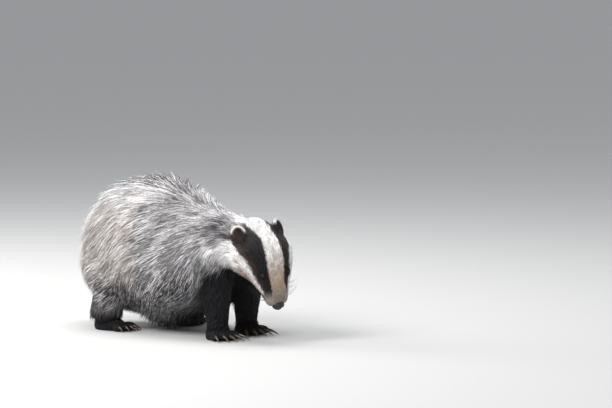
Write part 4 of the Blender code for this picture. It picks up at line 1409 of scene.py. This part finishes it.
def claw_material():
    """Worn horn: dark brown, with fine streaks along it and a dull polish."""
    material, tree, shader = new_material("claw_horn", {"Roughness": 0.38, "IOR": 1.55})
    place = add_node(tree, "TexCoord").outputs["Object"]
    stretch = add_node(tree, "Mapping", {"Vector": place, "Scale": (60, 900, 900)}).outputs[0]
    streaks = add_node(tree, "TexNoise", {"Vector": stretch, "Scale": 1.0, "Detail": 3.0}).outputs["Fac"]
    browns = ((0.3, linear("#1F1814")), (0.75, linear("#5E4D3E")))
    shade = add_node(tree, "ValToRGB", {"Fac": streaks}, browns)
    bump = add_node(tree, "Bump", {"Strength": 0.3, "Distance": 0.0002, "Height": streaks})
    set_inputs(tree, shader, {"Base Color": shade.outputs["Color"], "Normal": bump.outputs["Normal"]})
    return material


def whisker_material():
    """Whisker keratin: stiff, dark brown, smooth and a little glossy."""
    values = {"Base Color": rgba(linear("#2B2320")), "Roughness": 0.4, "IOR": 1.55}
    return new_material("whisker_keratin", values)[0]


def set_material(piece, material):
    piece.data.materials.clear()
    piece.data.materials.append(material)


def make_eyes(material):
    for word, sign in SIDES:
        _, facing = eye_spot(sign)
        turn = facing.to_track_quat("Z", "Y").to_matrix().to_4x4()
        eye = ball("eyeball_" + word, (EYE_RADIUS,) * 3, eye_middle(sign, EYE_SUNK), turn, 40)
        eye.data.shade_smooth()
        set_material(eye, material)
        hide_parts("eye_" + word)
        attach(eye, "root")


def make_nose(material):
    """The nose pad: a rounded wedge with two comma nostrils and a groove between them."""
    along, out = NOSE_PLACE
    middle = np.array([along, 0, out])
    nose = ball("nose_pad", NOSE_SIZE, head_place(along, 0, out), head_turn(), 56)
    local = head_local(mesh_arrays(nose)[0]) - middle
    for sign in (-1, 1):
        for ahead, side, lift, size, depth in NOSTRILS:
            offset = (local - np.array([ahead, sign * side, lift])) / size
            local[:, 0] -= np.exp(-((offset**2).sum(axis=1)) * 1.2) * depth
    groove = np.exp(-((local[:, 1] / 0.8) ** 2)) * share_between(local[:, 0], 1, 5)
    local[:, 0] -= 0.9 * groove
    local[:, 2] *= 1 - 0.12 * share_between(local[:, 0], 0, 8)
    put_vertices(nose, (local + middle) @ HEAD_AXES.T + np.array(HEAD_ORIGIN))
    nose.data.shade_smooth()
    set_material(nose, material)
    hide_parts("nose")
    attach(nose, "root")


def whisker(root, outward, back, length):
    """One whisker, bowed back to a fine tip."""
    rings = []
    for t in steps(0, 1, 6):
        middle = root + outward * (length * t) + back * (length * 0.5 * t * t)
        way = (outward + back * t).normalized()
        side = way.cross(back).normalized() * (0.3 - 0.24 * t)
        rings.append([middle + Matrix.Rotation(a, 3, way) @ side for a in turns(5)])
    return loft("whisker", rings)


def make_whiskers(material):
    """Stiff dark whiskers in rows on both sides of the muzzle."""
    chance = np.random.default_rng(SEED + 1)
    back = head_place(-1, 0, 0) - head_place(0, 0, 0)
    pieces = []
    for _, sign in SIDES:
        for row in WHISKER_ROWS:
            for degrees in WHISKER_TURNS:
                turn = on_side(math.radians(degrees + chance.uniform(-4, 4)), sign)
                place = row + chance.uniform(-0.1, 0.1)
                root = head_point(place, turn, HEAD_DEPTH)
                outward = (root - head_place(smooth(HEAD, place)[0], 0, 0)).normalized()
                pieces.append(whisker(root, outward, back, chance.uniform(*WHISKER_LENGTH)))
    whiskers = joined(pieces, "whiskers")
    whiskers.data.shade_smooth()
    set_material(whiskers, material)
    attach(whiskers, "root")


def claw_master(paw):
    """One claw at the origin, pointing along X: a horn drawn out and bowed down to its tip."""
    deselect()
    bpy.ops.mesh.primitive_circle_add(vertices=10, radius=1.0, fill_type="NGON")
    claw = bpy.context.object
    claw.data.transform(Matrix.Rotation(math.radians(90), 4, "Y"))
    length, drop = paw["claw"], paw["toe"] * TOE_LIFT - 0.2
    bpy.ops.object.mode_set(mode="EDIT")
    bpy.ops.mesh.select_all(action="SELECT")
    for _ in range(CLAW_SECTIONS):
        bpy.ops.mesh.extrude_region_move(TRANSFORM_OT_translate={"value": (1.0, 0, 0)})
    bpy.ops.object.mode_set(mode="OBJECT")
    for vertex in claw.data.vertices:
        t = min(max(vertex.co.x / CLAW_SECTIONS, 0.0), 1.0)
        wide, high = (1 - t**2.4) * 2.0 + 0.2, (1 - t**2.1) * 2.8 + 0.2
        vertex.co = Vector((length * t, vertex.co.y * wide, vertex.co.z * high - drop * t**2)) * MM
    work = bmesh.new()
    work.from_mesh(claw.data)
    bmesh.ops.recalc_face_normals(work, faces=work.faces)
    work.to_mesh(claw.data)
    work.free()
    claw.data.shade_smooth()
    return claw


def make_claws(material):
    for limb, table, paw, stride in LIMBS:
        master = claw_master(paw)
        for word, sign in SIDES:
            foot = foot_place(table, sign, stride if sign > 0 else 0.0)
            for i, (spot, way) in enumerate(toe_places(paw, foot)):
                claw = copied(master)
                claw.name = f"horn_{limb}_{word}_{i + 1}"
                ahead = Vector((math.cos(way), math.sin(way), 0))
                start = spot + ahead * (paw["toe"] * 1.05) + Vector((0, 0, 1.0))
                claw.data.transform(Matrix.Translation(to_metres(start)) @ Matrix.Rotation(way, 4, "Z"))
                set_material(claw, material)
                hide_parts(f"claw_{limb}_{word}_{i + 1}")
                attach(claw, "root")
        bpy.data.objects.remove(master, do_unlink=True)


def make_stage():
    """A wide plain pale floor and soft studio light."""
    values = {"Base Color": rgba(linear("#BBBAB8")), "Roughness": 0.9}
    deselect()
    bpy.ops.mesh.primitive_plane_add(size=60.0, location=(0, 0, 0))
    floor = bpy.context.object
    floor.name = "floor"
    set_material(floor, new_material("pale_paper", values)[0])
    world = bpy.data.worlds.new("studio")
    bpy.context.scene.world = world
    world.use_nodes = True
    sky = {"Color": rgba(linear("#E8ECF2")), "Strength": 0.7}
    set_inputs(world.node_tree, world.node_tree.nodes["Background"], sky)
    bpy.context.scene.view_settings.view_transform = "Standard"
    for name, size, power, spot in LAMPS:
        lamp = linked(name, bpy.data.lights.new(name, "AREA"))
        lamp.data.shape = "DISK"
        lamp.data.size = size
        lamp.data.energy = power
        lamp.location = spot
        lamp.rotation_euler = (LAMP_AIM - Vector(spot)).to_track_quat("-Z", "Y").to_euler()


# The photograph's view: turned round the animal, raised, and how much a pixel shows at its middle
VIEW_AZIMUTH = math.radians(42)
VIEW_ELEVATION = math.radians(5)
VIEW_DISTANCE = 10.0
PHOTO_SIZE = (612, 408)
MM_PER_PIXEL = 1.95
ORIGIN_PIXEL = (190, 331)
# Lamps: name, size, power and place; all look at one point of the animal
LAMPS = (
    ("key", 1.5, 70, (-0.2, -2.0, 2.0)),
    ("top", 2.0, 52, (-0.6, 0.4, 2.6)),
    ("front", 1.4, 8, (2.4, -0.9, 1.0)),
    ("rim", 1.2, 34, (-2.2, -0.5, 1.2)),
)
LAMP_AIM = Vector((0, 0, 0.15))


def make_camera():
    out, lift = math.cos(VIEW_ELEVATION), math.sin(VIEW_ELEVATION)
    right = Vector((math.cos(VIEW_AZIMUTH), math.sin(VIEW_AZIMUTH), 0))
    back = Vector((math.sin(VIEW_AZIMUTH) * out, -math.cos(VIEW_AZIMUTH) * out, lift))
    up = back.cross(right)
    pixel = MM_PER_PIXEL * MM
    across = (PHOTO_SIZE[0] / 2 - ORIGIN_PIXEL[0]) * pixel
    rise = (ORIGIN_PIXEL[1] - PHOTO_SIZE[1] / 2) * pixel
    middle = SHIFT * MM + right * across + up * rise
    camera = linked("camera", bpy.data.cameras.new("camera"))
    camera.location = middle + back * VIEW_DISTANCE
    camera.rotation_euler = back.to_track_quat("Z", "Y").to_euler()
    camera.data.sensor_width = 36
    camera.data.lens = 36 * VIEW_DISTANCE / (PHOTO_SIZE[0] * pixel)
    camera.data.clip_end = 120
    bpy.context.scene.camera = camera


def main():
    make_camera()
    make_stage()
    skin = make_skin()
    unwrap(skin)
    paint_skin(skin)
    skin.data.shade_smooth()
    set_material(skin, skin_material())
    flesh = ["torso", "neck", "head", "jaw", "tail", "ear_left", "ear_right"]
    for limb in ("fore", "hind"):
        flesh += [f"{limb}{part}_{word}" for part in ("leg", "paw") for word, _ in SIDES]
    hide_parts(*flesh)
    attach(skin, "root")
    hair = coat_material()
    for piece in make_coat(skin):
        set_material(piece, hair)
        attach(piece, "root")
    make_eyes(eye_material())
    make_nose(nose_material())
    make_whiskers(whisker_material())
    make_claws(claw_material())


main()
